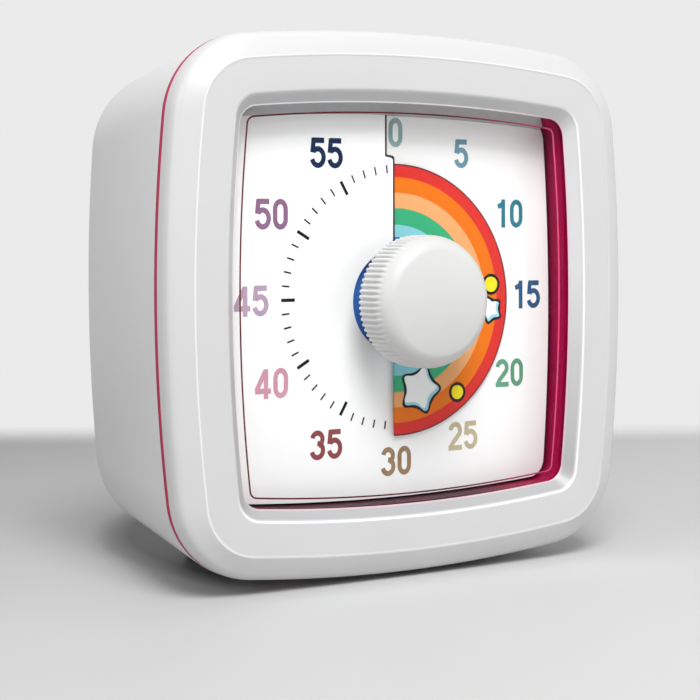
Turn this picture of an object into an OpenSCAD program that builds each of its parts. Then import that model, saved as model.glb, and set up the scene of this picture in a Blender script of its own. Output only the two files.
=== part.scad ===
// Square desk timer with bowed sides: a knurled knob turns a disc that threads through a slit in the dial.
// X runs to the right, Y from the front to the back and Z upwards. The bowed outlines are drawn round the
// middle of the face, with Y measured from the front edge of the opening, and placed() then moves each
// piece so that the origin is under the middle of the whole timer.

/* [Case] */
// Width and height of the case at the seam
face_w = 84.4; // [78:0.2:96]
// How far the corners of each side fall back from its middle
side_bow = 3.4; // [1.5:0.1:5]
// Corner radius at the seam
corner_r = 13.6; // [11:0.2:18]
// Depth of the case from the opening's front edge to the back
case_depth = 46.1; // [45.6:0.1:60]
// Width and height of the case at the back, before its edges are rounded
back_w = 78.2; // [77.6:0.2:88]
// Radius of the rounded edge round the back
back_edge_r = 9.5; // [5:0.5:10]
// Wall thickness of the rear case and of the bezel
wall = 2.2; // [1.6:0.1:2.6]

/* [Bezel] */
// Distance from the opening's front edge plane back to the seam
bezel_depth = 4.9; // [4.6:0.1:7]
// Width of the sloping outer band, seen from the front
band_w = 3.8; // [3:0.1:5]
// Width of the flat inner band, seen from the front
flat_w = 5.5; // [5:0.1:7]
// How far the opening's wall leans inwards, seen from the front
mouth_slope = 1.7; // [0.6:0.1:2.2]
// Depth of the opening's wall, down to the lens
mouth_depth = 2.15; // [1.8:0.05:2.4]
// Corner radius of the window where the opening's wall ends
window_r = 3; // [2.2:0.1:5]

/* [Dial] */
// Height of the dial's middle above the middle of the face
axis_z = 0.6; // [0:0.1:1]
// Depth of the dial behind the opening's front edge
dial_y = 6.8; // [6.4:0.1:7.2]
// Thickness of the dial
dial_t = 0.5; // [0.4:0.1:0.6]
// Radius of the hole in the dial
dial_hole_r = 8.2; // [7:0.1:9]
// Radius of the coloured disc
disc_r = 21.6; // [18:0.1:22]
// Thickness of the coloured disc
disc_t = 0.4; // [0.3:0.05:0.5]
// Height of the step between the two edges of the dial's slit
slit_step = 1.6; // [1.5:0.1:1.9]
// Thickness of the lens
lens_t = 1; // [0.8:0.1:1.2]

/* [Knob] */
// Radius of the knob over its ribs
knob_r = 10.3; // [9:0.05:11]
// Length of the knob
knob_len = 8.3; // [6.5:0.1:9]
// Number of ribs round the knob
rib_count = 72; // [48:1:90]
// Radius of the knob's shaft
shaft_r = 2; // [1.8:0.1:2.2]

/* [Battery] */
// Radius of the AA cell
cell_r = 7.25; // [7:0.05:7.3]
// Length of the AA cell over its button
cell_len = 50.5; // [49.5:0.1:50.6]
// Height of the cell's axis above the middle of the face
cell_z = -13; // [-13.4:0.1:-12]

/* [Gears] */
// Module of the gear train
gear_m = 0.35; // [0.33:0.01:0.36]
// Thickness of a wheel
wheel_t = 1; // [0.8:0.1:1.2]

/* [Hidden] */
$fn = 64;

// Colours
CASE_GREY = "#e6e6e8";
MAGENTA = "#b00a4a";
STEEL = "#b8bcc2";
BRASS = "#c9a24a";
COPPER = "#b5652b";
MOVEMENT_BLACK = "#2b2d30";

// Clearances
run_gap = 0.05;     // round a turning shaft
fit_gap = 0.25;     // between fixed pieces that drop into each other
move_gap = 0.35;    // round anything that moves past a wall
eps = 0.01;

// An outline is [half width, fall of the corners, corner radius]. A ring is an outline with a depth added.
SEAM = [face_w / 2, side_bow, corner_r];
BACK = [back_w / 2, side_bow * 0.72, corner_r];
ridge_half = face_w / 2 - band_w;
mouth_half = ridge_half - flat_w;
window_half = mouth_half - mouth_slope;
RIDGE = [ridge_half, side_bow * 0.86, corner_r * 0.63];
MOUTH = [mouth_half, side_bow * 0.62, window_r + 0.9];
WINDOW = [window_half, side_bow * 0.53, window_r];
side_steps = 3;
corner_steps = 6;
ring_n = 4 * (2 * side_steps + corner_steps);

function side_radius(o) = (o[0] * o[0] + o[1] * o[1]) / (2 * o[1]);
function corner_middle(o) =
    let (k = side_radius(o) - o[0], q = side_radius(o) - o[2])
    (sqrt(2 * q * q - k * k) - k) / 2;
function on_side(o, a) = [side_radius(o) * sin(a), side_radius(o) * (cos(a) - 1) + o[0]];
function quarter_turn(p, q) = q == 0 ? p : quarter_turn([p[1], -p[0]], q - 1);

// The outline as points, clockwise seen from the front, from the middle of the top side
function outline(o) =
    let (c = corner_middle(o), t = atan2(c, c + side_radius(o) - o[0]))
    let (half_side = [for (i = [0 : side_steps - 1]) on_side(o, t * i / side_steps)])
    let (corner = [for (i = [0 : corner_steps - 1])
        let (a = 90 - t - (90 - 2 * t) * i / corner_steps)
        [c + o[2] * cos(a), c + o[2] * sin(a)]])
    let (other_half = [for (i = [0 : side_steps - 1])
        let (p = on_side(o, t * (1 - i / side_steps))) [p[1], p[0]]])
    [for (q = [0 : 3]) each [for (p = concat(half_side, corner, other_half)) quarter_turn(p, q)]];

function at(o, y, inset = 0) =
    [o[0] - inset, o[1] * (o[0] - inset) / o[0], max(o[2] - inset, 0.8), y];

// Distance from the middle to the bowed side, at a distance along it
function side_at(o, along) =
    o[0] - side_radius(o) + sqrt(side_radius(o) * side_radius(o) - along * along);

// A solid through a row of rings: capped at both ends, or joined end to end round an opening
module loft(rings, looped = false) {
    n = ring_n;
    last = len(rings) - 1;
    spans = looped ? last + 1 : last;
    points = [for (g = rings) for (p = outline(g)) [p[0], g[3], p[1]]];
    walls = [for (k = [0 : spans - 1]) for (i = [0 : n - 1])
        let (a = k * n + i, b = k * n + (i + 1) % n)
        let (far = ((k + 1) % (last + 1)) * n)
        each [[a, far + i, far + (i + 1) % n], [a, far + (i + 1) % n, b]]];
    caps = looped ? [] : [[for (i = [0 : n - 1]) i], [for (i = [n - 1 : -1 : 0]) last * n + i]];
    polyhedron(points, concat(walls, caps));
}

// A strip with a four-cornered section, swept through its sections
module sweep(sections) {
    last = len(sections) - 1;
    points = [for (s = sections) each s];
    sides = [for (k = [0 : last - 1]) for (i = [0 : 3])
        let (a = 4 * k + i, b = 4 * k + (i + 1) % 4)
        each [[a, a + 4, b + 4], [a, b + 4, b]]];
    polyhedron(points, concat(sides, [[0, 1, 2, 3], [for (i = [3 : -1 : 0]) 4 * last + i]]));
}

// Basic forms that stand along Y, in the plane of the face
module slab(y0, y1) { translate([0, y1, 0]) rotate([90, 0, 0]) linear_extrude(y1 - y0) children(); }
module rod(r, y0, y1, x = 0, z = 0) {
    translate([x, y1, z]) rotate([90, 0, 0]) cylinder(r = r, h = y1 - y0);
}
module turned() { rotate([90, 0, 0]) rotate_extrude() children(); }
module block(x, y, z) { translate([x[0], y[0], z[0]]) cube([x[1] - x[0], y[1] - y[0], z[1] - z[0]]); }
module pan_screw(r, length, head_r, head_h) {
    // The shank runs forward from Y = 0, with the head behind it
    rod(r, -length, 0);
    rod(head_r, 0, head_h);
}
module four_corners(x, z) { for (i = [-1, 1]) for (j = [-1, 1]) translate([i * x, 0, j * z]) children(); }

// A wire through points, with round bends
module wire(route, r) {
    for (i = [0 : len(route) - 2]) {
        d = route[i + 1] - route[i];
        translate(route[i]) rotate([0, acos(d[2] / norm(d)), atan2(d[1], d[0])])
            cylinder(r = r, h = norm(d), $fn = 16);
    }
    for (i = [1 : len(route) - 2]) translate(route[i]) sphere(r = r, $fn = 16);
}

// Depths, from the front to the back
seam_t = 1;
seam_back = bezel_depth + seam_t;
lens_back = mouth_depth + lens_t;
floor_t = 1.6;
floor_front = dial_y + slit_step + 1.2;
floor_back = floor_front + floor_t;
plate_t = 1.2;
train_y = floor_back + plate_t;
movement_depth = 10.6;
movement_split = floor_back + movement_depth - 3.8;
movement_end = floor_back + movement_depth;
back_inner = case_depth - wall;
bay_wall = 1.2;
cell_y = back_inner - cell_r - 0.15;
bay_front = cell_y - cell_r - 0.3;
board_t = 1.2;
board_room = 5.7;
board_back = back_inner - board_room;
board_front = board_back - board_t;

// Feet: the case stands clear of the ground by foot_gap at its lowest point
foot_gap = 0.7;
foot_x = 20;
foot_r = 4;
pad_r = 3.4;
pad_t = 1.6;
pad_sink = 0.5;
ground_z = -(face_w / 2 + foot_gap);
rib_h = 1.5;
front_foot_y = seam_back + rib_h + foot_r + 5.1;
rear_foot_y = case_depth - back_edge_r - foot_r / 2;

knob_back = mouth_depth - 0.95;
knob_front = knob_back - knob_len;
module placed() { translate([0, -(knob_front + case_depth) / 2, -ground_z]) children(); }
module on_axis() { translate([0, 0, axis_z]) children(); }

// ---- Front bezel ----
bezel_screw_r = 1;
bezel_boss_r = 2.6;
bezel_screw_x = (window_half + 0.5 + face_w / 2) / 2 - 4.35;
bezel_skin = 1.3;
bezel_head_r = 1.9;
bezel_head_h = 1.3;

module front_bezel() color(CASE_GREY) placed() difference() {
    union() {
        loft([at(SEAM, bezel_depth, wall), at(SEAM, wall + 0.8, wall), at(SEAM, wall + 0.1, wall + 0.7),
            at(WINDOW, mouth_depth, -2.8), at(WINDOW, mouth_depth), at(MOUTH, 0.3), at(MOUTH, 0.1, -0.3),
            at(RIDGE, 0.1, 0.4), at(RIDGE, 0), at(SEAM, 0.35, band_w * 0.62), at(SEAM, 0.95, band_w * 0.3),
            at(SEAM, 1.8, 0.35), at(SEAM, 2.9, 0.05), at(SEAM, bezel_depth)], looped = true);
        four_corners(bezel_screw_x, bezel_screw_x) rod(bezel_boss_r, bezel_skin, bezel_depth);
    }
    four_corners(bezel_screw_x, bezel_screw_x) rod(bezel_screw_r + 0.02, bezel_skin, bezel_depth + eps);
}

module bezel_screws() color(STEEL) placed() four_corners(bezel_screw_x, bezel_screw_x)
    translate([0, seam_back, 0])
        pan_screw(bezel_screw_r, seam_back - bezel_skin - 0.5, bezel_head_r, bezel_head_h);

// ---- Magenta tray between the bezel and the rear case ----
DIAL = [window_half - 0.75, side_bow * 0.4, window_r];
tray_wall = 1.6;
case_screw_r = 1.3;
case_screw_len = 9;
case_boss_r = 3.2;
case_boss_end = movement_end - 2;
movement_screw_r = 0.95;
post_r = 1.5;

function film_y(a) = dial_y + slit_step * (0.5 - a / 360);
post_angles = [8, 45, 90, 135, 180, 225, 270, 315, 352];
function post_reach(a) = (window_half - 4.4) / max(abs(sin(a)), abs(cos(a)));

module dial_posts() {
    for (a = post_angles) {
        reach = post_reach(a);
        rod(post_r, film_y(a) + dial_t / 2 - 0.15, floor_front + eps, reach * sin(a), reach * cos(a));
    }
}

module mid_frame() color(MAGENTA) placed() difference() {
    union() {
        loft([at(DIAL, floor_front, -fit_gap), at(DIAL, lens_back, -0.9), at(WINDOW, lens_back, -1.3),
            at(WINDOW, mouth_depth + 0.1, -1.3), at(WINDOW, mouth_depth + 0.1, -2.4),
            at(WINDOW, bezel_depth, -2.4), at(SEAM, bezel_depth), at(SEAM, seam_back),
            at(SEAM, seam_back, wall + fit_gap), at(SEAM, seam_back + rib_h, wall + fit_gap + 0.1),
            at(SEAM, seam_back + rib_h, wall + fit_gap + 1), at(SEAM, seam_back, wall + fit_gap + 1),
            at(WINDOW, seam_back, -tray_wall), at(WINDOW, floor_back, -tray_wall)]);
        on_axis() dial_posts();
        four_corners(case_screw_x, case_screw_x) rod(case_boss_r, floor_back - eps, case_boss_end);
    }
    on_axis() rod(shaft_r + run_gap, floor_front - 1, floor_back + 1);
    four_corners(case_screw_x, case_screw_x)
        rod(case_screw_r + 0.02, case_boss_end + well_floor - case_screw_len - 0.5, case_boss_end + eps);
    movement_corners() rod(movement_screw_r + 0.02, floor_front + 0.2, floor_back + eps);
    four_corners(bezel_screw_x, bezel_screw_x) rod(bezel_screw_r + 0.1, bezel_depth - eps, seam_back + eps);
}

// ---- Lens ----
lens_hole_r = shaft_r + 0.6;
module lens() color("#dfe8ee", 0.35) placed() difference() {
    loft([at(WINDOW, mouth_depth, -1.05), at(WINDOW, lens_back, -1.05)]);
    on_axis() rod(lens_hole_r, mouth_depth - 1, lens_back + 1);
}

// ---- Dial, disc and hub ----
// The dial winds one turn forward from the right edge of its slit to the left edge, and a short tongue of
// its right edge runs on behind the left one. The disc has the same pitch and lies midway between the turns.
function strip(a, r0, x1, z1, y, t) =
    [[r0 * sin(a), y - t / 2, r0 * cos(a)], [x1, y - t / 2, z1], [x1, y + t / 2, z1],
     [r0 * sin(a), y + t / 2, r0 * cos(a)]];
dial_edge = [for (p = outline(at(DIAL, 0))) [p[0], p[1] - axis_z]];
function dial_angle(i) =
    i == ring_n ? 360 : i < 0 ? dial_angle(ring_n + i) - 360
    : let (a = atan2(dial_edge[i][0], dial_edge[i][1])) a < -eps ? a + 360 : a;

module dial_plate() color("#fbfbfa") placed() on_axis()
    sweep([for (i = [-1 : ring_n])
        let (p = dial_edge[(i + ring_n) % ring_n], a = dial_angle(i))
        strip(a, dial_hole_r, p[0], p[1], film_y(a), dial_t)]);

hub_r = 5.6;
hub_half = slit_step / 2 + disc_t / 2 + 0.5;
disc_cut = 2;
disc_spans = 70;
module rainbow_disc() color("#e84040") placed() on_axis()
    sweep([for (k = [0 : disc_spans])
        let (a = -180 + disc_cut + k * (360 - disc_cut) / disc_spans)
        strip(a, hub_r - 0.4, disc_r * sin(a), disc_r * cos(a), dial_y - slit_step * a / 360, disc_t)]);

flat_depth = 0.5;
module d_section(r, flat) {
    intersection() {
        circle(r = r);
        translate([-r - 1, -r - 1]) square([r + 1 + flat, 2 * r + 2]);
    }
}
module disc_hub() color("#2d5aa0") placed() on_axis() difference() {
    rod(hub_r, dial_y - hub_half, dial_y + hub_half);
    slab(dial_y - hub_half - 1, dial_y + hub_half + 1)
        d_section(shaft_r + run_gap, shaft_r - flat_depth + run_gap);
}

// ---- Knob and shaft ----
rib_depth = 0.28;
cap_r = knob_r - rib_depth;
edge_r = 2.6;
dome_h = 0.7;
skirt_end = knob_len - edge_r - dome_h;
knob_wall = 1.6;
socket_len = 4;

function arc(cx, cy, r, a0, a1, steps) =
    [for (i = [0 : steps]) let (a = a0 + (a1 - a0) * i / steps) [cx + r * cos(a), cy + r * sin(a)]];
dome_r = ((cap_r - edge_r) * (cap_r - edge_r) + dome_h * dome_h) / (2 * dome_h);
dome_half = asin((cap_r - edge_r) / dome_r);
knob_face = concat([[0, 0], [cap_r, 0]], arc(cap_r - edge_r, skirt_end, edge_r, 0, 90 - dome_half, 6),
    arc(0, knob_len - dome_r, dome_r, 90 - dome_half * 0.93, 90, 6));

module knob() color("#f2f2f2") placed() on_axis() difference() {
    translate([0, knob_back, 0]) {
        turned() polygon(knob_face);
        rotate([90, 0, 0]) linear_extrude(skirt_end)
            polygon([for (i = [0 : rib_count - 1]) for (h = [0 : 3])
                let (a = (i + [0, 0.22, 0.5, 0.72][h]) * 360 / rib_count)
                let (r = h < 2 ? knob_r : cap_r) [r * cos(a), r * sin(a)]]);
    }
    difference() {
        rod(cap_r - knob_wall, knob_back - skirt_end + 0.4, knob_back + eps);
        rod(shaft_r + knob_wall, knob_front, knob_back + 1);
    }
    rod(shaft_r, knob_back - socket_len, knob_back + eps);
}

collar_r = 3.4;
collar_t = 0.5;
collar_y = train_y + 0.4;
washer_t = 0.65;
washer_r = 4.6;
wheel_y = collar_y + collar_t + washer_t + run_gap;
shaft_end = movement_end - 0.3;
module knob_shaft() color(STEEL) placed() on_axis() {
    rod(shaft_r, knob_back - socket_len, lens_back);
    slab(lens_back, floor_front - 0.3) d_section(shaft_r, shaft_r - flat_depth);
    rod(shaft_r, floor_front - 0.3, shaft_end);
    rod(collar_r, collar_y, collar_y + collar_t);
}

module clutch_spring() color(STEEL) placed() on_axis() translate([0, collar_y + collar_t, 0])
    rotate([-90, 0, 0]) rotate_extrude()
        polygon([[shaft_r + 0.15, 0], [shaft_r + 0.55, 0], [washer_r, washer_t - 0.3], [washer_r, washer_t],
            [washer_r - 0.4, washer_t], [shaft_r + 0.15, 0.3]]);

// ---- Gear train ----
// Each arbor stands round the knob's shaft, at the distance that its teeth need from the arbor before it
centre_teeth = 72;
third_teeth = 60;
seconds_teeth = 50;
intermediate_teeth = 48;
third_leaves = 9;
seconds_leaves = 8;
intermediate_leaves = 10;
rotor_leaves = 8;
plane_step = 1.6;
arbor_r = 0.5;
pinion_t = 1.4;

function mesh_distance(a, b) = gear_m * (a + b) / 2;
function tip_r(count) = gear_m * (count / 2 + 0.85);
function swing(d, r1, r2) = acos((r1 * r1 + r2 * r2 - d * d) / (2 * r1 * r2));
function polar(r, a) = [r * cos(a), r * sin(a)];
function heading(p, q) = atan2(q[1] - p[1], q[0] - p[0]);

third_reach = mesh_distance(centre_teeth, third_leaves);
arbor_reach = gear_m * centre_teeth / 2 + 1.3;
third_a = 215;
seconds_a = third_a - swing(mesh_distance(third_teeth, seconds_leaves), third_reach, arbor_reach);
intermediate_a = seconds_a
    - swing(mesh_distance(seconds_teeth, intermediate_leaves), arbor_reach, arbor_reach);
rotor_a = intermediate_a
    - swing(mesh_distance(intermediate_teeth, rotor_leaves), arbor_reach, arbor_reach);
third_at = polar(third_reach, third_a);
seconds_at = polar(arbor_reach, seconds_a);
intermediate_at = polar(arbor_reach, intermediate_a);
rotor_at = polar(arbor_reach, rotor_a);

// Teeth as a closed outline, with one tooth at the angle first_tooth
module teeth(count, first_tooth, thick) {
    pitch = 360 / count;
    root = gear_m * (count / 2 - 1.3);
    tip = tip_r(count);
    mid = gear_m * count / 2;
    shape = [[root, -0.5 * thick - 0.08], [mid, -0.5 * thick], [tip, -0.18 * thick], [tip, 0.18 * thick],
        [mid, 0.5 * thick], [root, 0.5 * thick + 0.08]];
    polygon([for (i = [0 : count - 1]) for (s = shape)
        polar(s[0], first_tooth + pitch * (i + s[1]))]);
}
wheel_thick = 0.42;
leaf_thick = 0.38;
module wheel(y, count, first_tooth) { slab(y, y + wheel_t) teeth(count, first_tooth, wheel_thick); }
module pinion(y, count, toward) {
    slab(y, y + pinion_t) teeth(count, toward + 180 / count, leaf_thick);
}
module arbor() { rod(arbor_r, floor_back + 0.3, movement_end - 0.5); }
module arbor_at(p) { on_axis() translate([p[0], 0, p[1]]) children(); }

hub_wall = 0.8;
hub_len = 3;
module centre_wheel() color(BRASS) placed() on_axis() difference() {
    union() {
        wheel(wheel_y, centre_teeth, third_a);
        rod(shaft_r + hub_wall, wheel_y, wheel_y + hub_len);
    }
    rod(shaft_r + run_gap, wheel_y - 1, wheel_y + hub_len + 1);
}
module third_wheel() color(BRASS) placed() arbor_at(third_at) {
    arbor();
    pinion(wheel_y - 0.2, third_leaves, third_a + 180);
    wheel(wheel_y + plane_step, third_teeth, heading(third_at, seconds_at));
}
module seconds_wheel() color(BRASS) placed() arbor_at(seconds_at) {
    arbor();
    pinion(wheel_y + plane_step - 0.2, seconds_leaves, heading(seconds_at, third_at));
    wheel(wheel_y + 2 * plane_step, seconds_teeth, heading(seconds_at, intermediate_at));
}
module intermediate_wheel() color("#e8e4d8") placed() arbor_at(intermediate_at) {
    arbor();
    pinion(wheel_y + 2 * plane_step - 0.2, intermediate_leaves, heading(intermediate_at, seconds_at));
    wheel(wheel_y + 3 * plane_step, intermediate_teeth, heading(intermediate_at, rotor_at));
}
// The magnet stands between the centre wheel's plane and the rotor's own pinion
magnet_r = 3;
magnet_t = 1.6;
magnet_y = wheel_y + wheel_t + 0.5;
module rotor() color("#55585e") placed() arbor_at(rotor_at) {
    arbor();
    pinion(wheel_y + 3 * plane_step - 0.2, rotor_leaves, heading(rotor_at, intermediate_at));
    rod(magnet_r, magnet_y, magnet_y + magnet_t);
}

// ---- Motor ----
stator_y = magnet_y + 0.3;
stator_t = 1;
coil_r = 3.1;
core_x = tip_r(centre_teeth) + coil_r + 1;
core_w = 2.4;
core_low = -11.5;
leg_x = 6.6;
leg_w = 3.4;
coil_low = -8;
coil_high = 8;
flange_t = 0.8;
module stator() color(STEEL) placed() on_axis() slab(stator_y, stator_y + stator_t) difference() {
    union() {
        translate(rotor_at) circle(r = magnet_r + 2.2);
        translate([rotor_at[0], rotor_at[1] - 2.2]) square([core_x + core_w / 2 - rotor_at[0], 4.4]);
        translate([core_x - core_w / 2, core_low]) square([core_w, rotor_at[1] - core_low]);
        translate([leg_x - leg_w / 2, core_low - 1.5]) square([core_x + core_w / 2 - leg_x + leg_w / 2, 3.4]);
        translate([leg_x - leg_w / 2, core_low]) square([leg_w, rotor_at[1] - core_low - 2]);
    }
    translate(rotor_at) circle(r = magnet_r + 0.4);
}
module coil_hole() {
    block([core_x - core_w / 2 - 0.02, core_x + core_w / 2 + 0.02],
        [stator_y - 0.02, stator_y + stator_t + 0.02], [coil_low - 1, coil_high + 1]);
}
module upright(r, z0, z1) {
    translate([core_x, stator_y + stator_t / 2, z0]) cylinder(r = r, h = z1 - z0);
}
module coil_bobbin() color("#eeeae0") placed() on_axis() difference() {
    union() {
        upright(coil_r, coil_low, coil_low + flange_t);
        upright(coil_r, coil_high - flange_t, coil_high);
        upright(1.8, coil_low, coil_high);
    }
    coil_hole();
}
module coil_winding() color(COPPER) placed() on_axis() difference() {
    upright(coil_r - 0.3, coil_low + flange_t, coil_high - flange_t);
    upright(1.8, coil_low, coil_high);
}

// ---- Movement case ----
movement_wall = 1.2;
movement_room = movement_wall + 0.8;
movement_low = third_at - (tip_r(third_teeth) + movement_room) * [1, 1];
movement_high = [core_x + coil_r, intermediate_at[1] + tip_r(intermediate_teeth)] + movement_room * [1, 1];
corner_post_r = 2.1;
lead_hole_r = 0.9;
lead_hole_at = [core_x + coil_r - 0.6, 12];
module movement_outline(inset) {
    offset(r = 2) translate(movement_low + [inset + 2, inset + 2])
        square(movement_high - movement_low - 2 * [inset + 2, inset + 2]);
}
module movement_corners() {
    post_in = movement_wall + 1;
    on_axis() for (x = [movement_low[0] + post_in, movement_high[0] - post_in])
        for (z = [movement_low[1] + post_in, movement_high[1] - post_in]) translate([x, 0, z]) children();
}
module movement_box(y0, y1, plate_y0) {
    difference() {
        on_axis() slab(y0, y1) movement_outline(0);
        difference() {
            on_axis() slab(plate_y0, plate_y0 + y1 - y0 - plate_t) movement_outline(movement_wall);
            movement_corners() rod(corner_post_r, y0 - 1, y1 + 1);
        }
        movement_corners() rod(movement_screw_r + 0.15, y0 - 1, y1 + 1);
    }
}
module arbor_holes(y0, y1) {
    for (p = [third_at, seconds_at, intermediate_at, rotor_at])
        on_axis() rod(arbor_r + run_gap, y0, y1, p[0], p[1]);
}
module movement_front() color(MOVEMENT_BLACK) placed() difference() {
    movement_box(floor_back, movement_split, train_y);
    on_axis() rod(shaft_r + 0.3, floor_back - 1, train_y + 1);
    arbor_holes(floor_back - 1, train_y + 1);
}
module movement_back() color(MOVEMENT_BLACK) placed() difference() {
    movement_box(movement_split, movement_end, movement_split - eps);
    on_axis() rod(shaft_r + run_gap, movement_split, movement_end + 1);
    arbor_holes(movement_split, movement_end - 0.3);
    on_axis() rod(lead_hole_r, movement_split, movement_end + 1, lead_hole_at[0], lead_hole_at[1]);
}
movement_head_r = 1.8;
movement_head_h = 1.1;
module movement_screws() color(STEEL) placed() movement_corners() translate([0, movement_end, 0])
    pan_screw(movement_screw_r, movement_depth + floor_t - 0.4, movement_head_r, movement_head_h);

// ---- Rear case ----
shell_rings = 6;
straight_end = case_depth - back_edge_r;
function back_ring(a, inset) =
    let (drop = back_edge_r * (1 - cos(a)))
    at(at(BACK, 0, drop), straight_end + (back_edge_r - inset) * sin(a), inset * cos(a));
outer_rings = concat([at(SEAM, seam_back)], [for (i = [0 : shell_rings]) back_ring(90 * i / shell_rings, 0)]);
inner_rings = concat([for (i = [shell_rings : -1 : 0]) back_ring(90 * i / shell_rings, wall)],
    [at(SEAM, seam_back, wall)]);

// Battery bay: walls that stand forward from the back wall, with the door's opening behind them
bay_half = cell_len / 2 + 1.95;
bay_top = cell_z + cell_r + 2.35;
bay_low = cell_z - cell_r - 0.85;
door_t = 2;
door_half = bay_half + 1;
hinge_r = 1.4;
hinge_y = case_depth - hinge_r;
hinge_z = bay_top - 0.35 - hinge_r;
pin_r = 0.8;
door_low = bay_low - 0.4;

scoop_r = 6.5;

// Wells for the case screws, at the tray's bosses beside the movement
case_screw_x = movement_high[1] + axis_z + case_boss_r + 0.5;
case_head_r = 2.3;
case_head_h = 1.6;
well_hole_r = case_head_r + 0.3;
well_r = well_hole_r + 1;
well_floor = 1.6;

switch_at = [11, 16];
slider_travel = 2;
stem_half = [1.2, 0.8];
cap_half = [2.5, 2.4];
track_depth = 1;
buzzer_at = [-9.5, 16];
buzzer_r = 8;
board_half = 22;
board_low = 5;
board_high = 27.5;
board_hole_in = 2.5;
board_post_r = 2.2;
board_screw_r = 0.9;

module bay_walls() {
    block([-bay_half - bay_wall, bay_half + bay_wall], [bay_front - bay_wall, back_inner + eps],
        [bay_low - bay_wall, bay_top + bay_wall]);
    // Blocks that hold the door's pins
    for (s = [-1, 1]) block(s > 0 ? [door_half + 0.2, door_half + 2.4] : [-door_half - 2.4, -door_half - 0.2],
        [hinge_y - 2, back_inner + eps], [hinge_z - 2, hinge_z + 2]);
}
module bay_space() {
    block([-bay_half, bay_half], [bay_front, back_inner], [bay_low, bay_top]);
    // Opening for the door through the back wall, with a rebate at its two ends and its lower edge
    block([-bay_half, bay_half], [back_inner - 1, case_depth + 1], [bay_low, bay_top]);
    block([-door_half - 0.2, door_half + 0.2], [case_depth - door_t - 0.1, case_depth + 1],
        [door_low - 0.2, bay_top]);
    block([-door_half - 0.2, door_half + 0.2], [hinge_y - hinge_r - 0.3, case_depth + 1],
        [hinge_z - hinge_r - 0.3, bay_top]);
    translate([-door_half - 1.2, hinge_y, hinge_z]) rotate([0, 90, 0])
        cylinder(r = pin_r + run_gap, h = 2 * door_half + 2.4);
}
module board_corners() {
    for (x = [-board_half + board_hole_in, board_half - board_hole_in])
        for (z = [board_low + board_hole_in, board_high - board_hole_in]) translate([x, 0, z]) children();
}
foot_boss_h = -ground_z - pad_t + pad_sink - side_at(BACK, foot_x) + wall + 2.6;
module foot_places() {
    for (x = [-foot_x, foot_x]) for (y = [front_foot_y, rear_foot_y]) translate([x, y, ground_z]) children();
}
module sound_holes() {
    for (i = [0 : 6]) {
        r = i == 0 ? 0 : 3;
        rod(0.8, back_inner - 1, case_depth + 1,
            buzzer_at[0] + r * cos(60 * i), buzzer_at[1] + r * sin(60 * i));
    }
}
module slider_track() {
    reach = cap_half[0] + slider_travel + move_gap;
    slot = stem_half[0] + slider_travel + move_gap;
    translate([switch_at[0], 0, switch_at[1]]) {
        block([-reach, reach], [case_depth - track_depth, case_depth + 1],
            [-cap_half[1] - move_gap, cap_half[1] + move_gap]);
        block([-slot, slot], [back_inner - 1, case_depth + 1],
            [-stem_half[1] - move_gap, stem_half[1] + move_gap]);
    }
}
module rear_shell() color(CASE_GREY) placed() difference() {
    union() {
        loft(concat(inner_rings, outer_rings));
        bay_walls();
        board_corners() rod(board_post_r, board_back, back_inner + eps);
        four_corners(case_screw_x, case_screw_x) rod(well_r, case_boss_end, back_inner + eps);
        foot_places() translate([0, 0, pad_t - pad_sink]) cylinder(r = foot_r, h = foot_boss_h);
    }
    bay_space();
    sound_holes();
    slider_track();
    // Scoop for a fingertip below the door
    translate([-grip_half, case_depth + scoop_r - 1, door_low - 0.6]) rotate([0, 90, 0])
        cylinder(r = scoop_r, h = 2 * grip_half);
    contact_tabs(0.1);
    board_corners() rod(board_screw_r + 0.02, board_back - 1, back_inner);
    four_corners(case_screw_x, case_screw_x) {
        rod(well_hole_r, case_boss_end + well_floor, case_depth + 1);
        rod(case_screw_r + 0.15, case_boss_end - 1, case_depth);
    }
    foot_places() cylinder(r = pad_r + 0.05, h = pad_t);
}
module case_screws() color(STEEL) placed() four_corners(case_screw_x, case_screw_x)
    translate([0, case_boss_end + well_floor, 0])
        pan_screw(case_screw_r, case_screw_len, case_head_r, case_head_h);

module rubber_feet() color("#8f9296") placed() foot_places() cylinder(r = pad_r, h = pad_t);

// ---- Battery door ----
grip_half = 7;
grip_step = 1.8;
module battery_door() color(CASE_GREY) placed() {
    difference() {
        block([-door_half, door_half], [case_depth - door_t, case_depth], [door_low, hinge_z]);
        for (i = [1 : 3]) translate([0, 0, door_low + i * grip_step])
            block([-grip_half, grip_half], [case_depth - 0.4, case_depth + 1], [0, 0.8]);
    }
    for (pivot = [[hinge_r, door_half], [pin_r, door_half + 1]])
        translate([-pivot[1], hinge_y, hinge_z]) rotate([0, 90, 0])
            cylinder(r = pivot[0], h = 2 * pivot[1]);
    // Snap tongue behind the lower edge
    block([-5, 5], [case_depth - door_t - 1.4, case_depth - door_t + eps], [bay_low + 0.4, bay_low + 1.4]);
}

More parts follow.
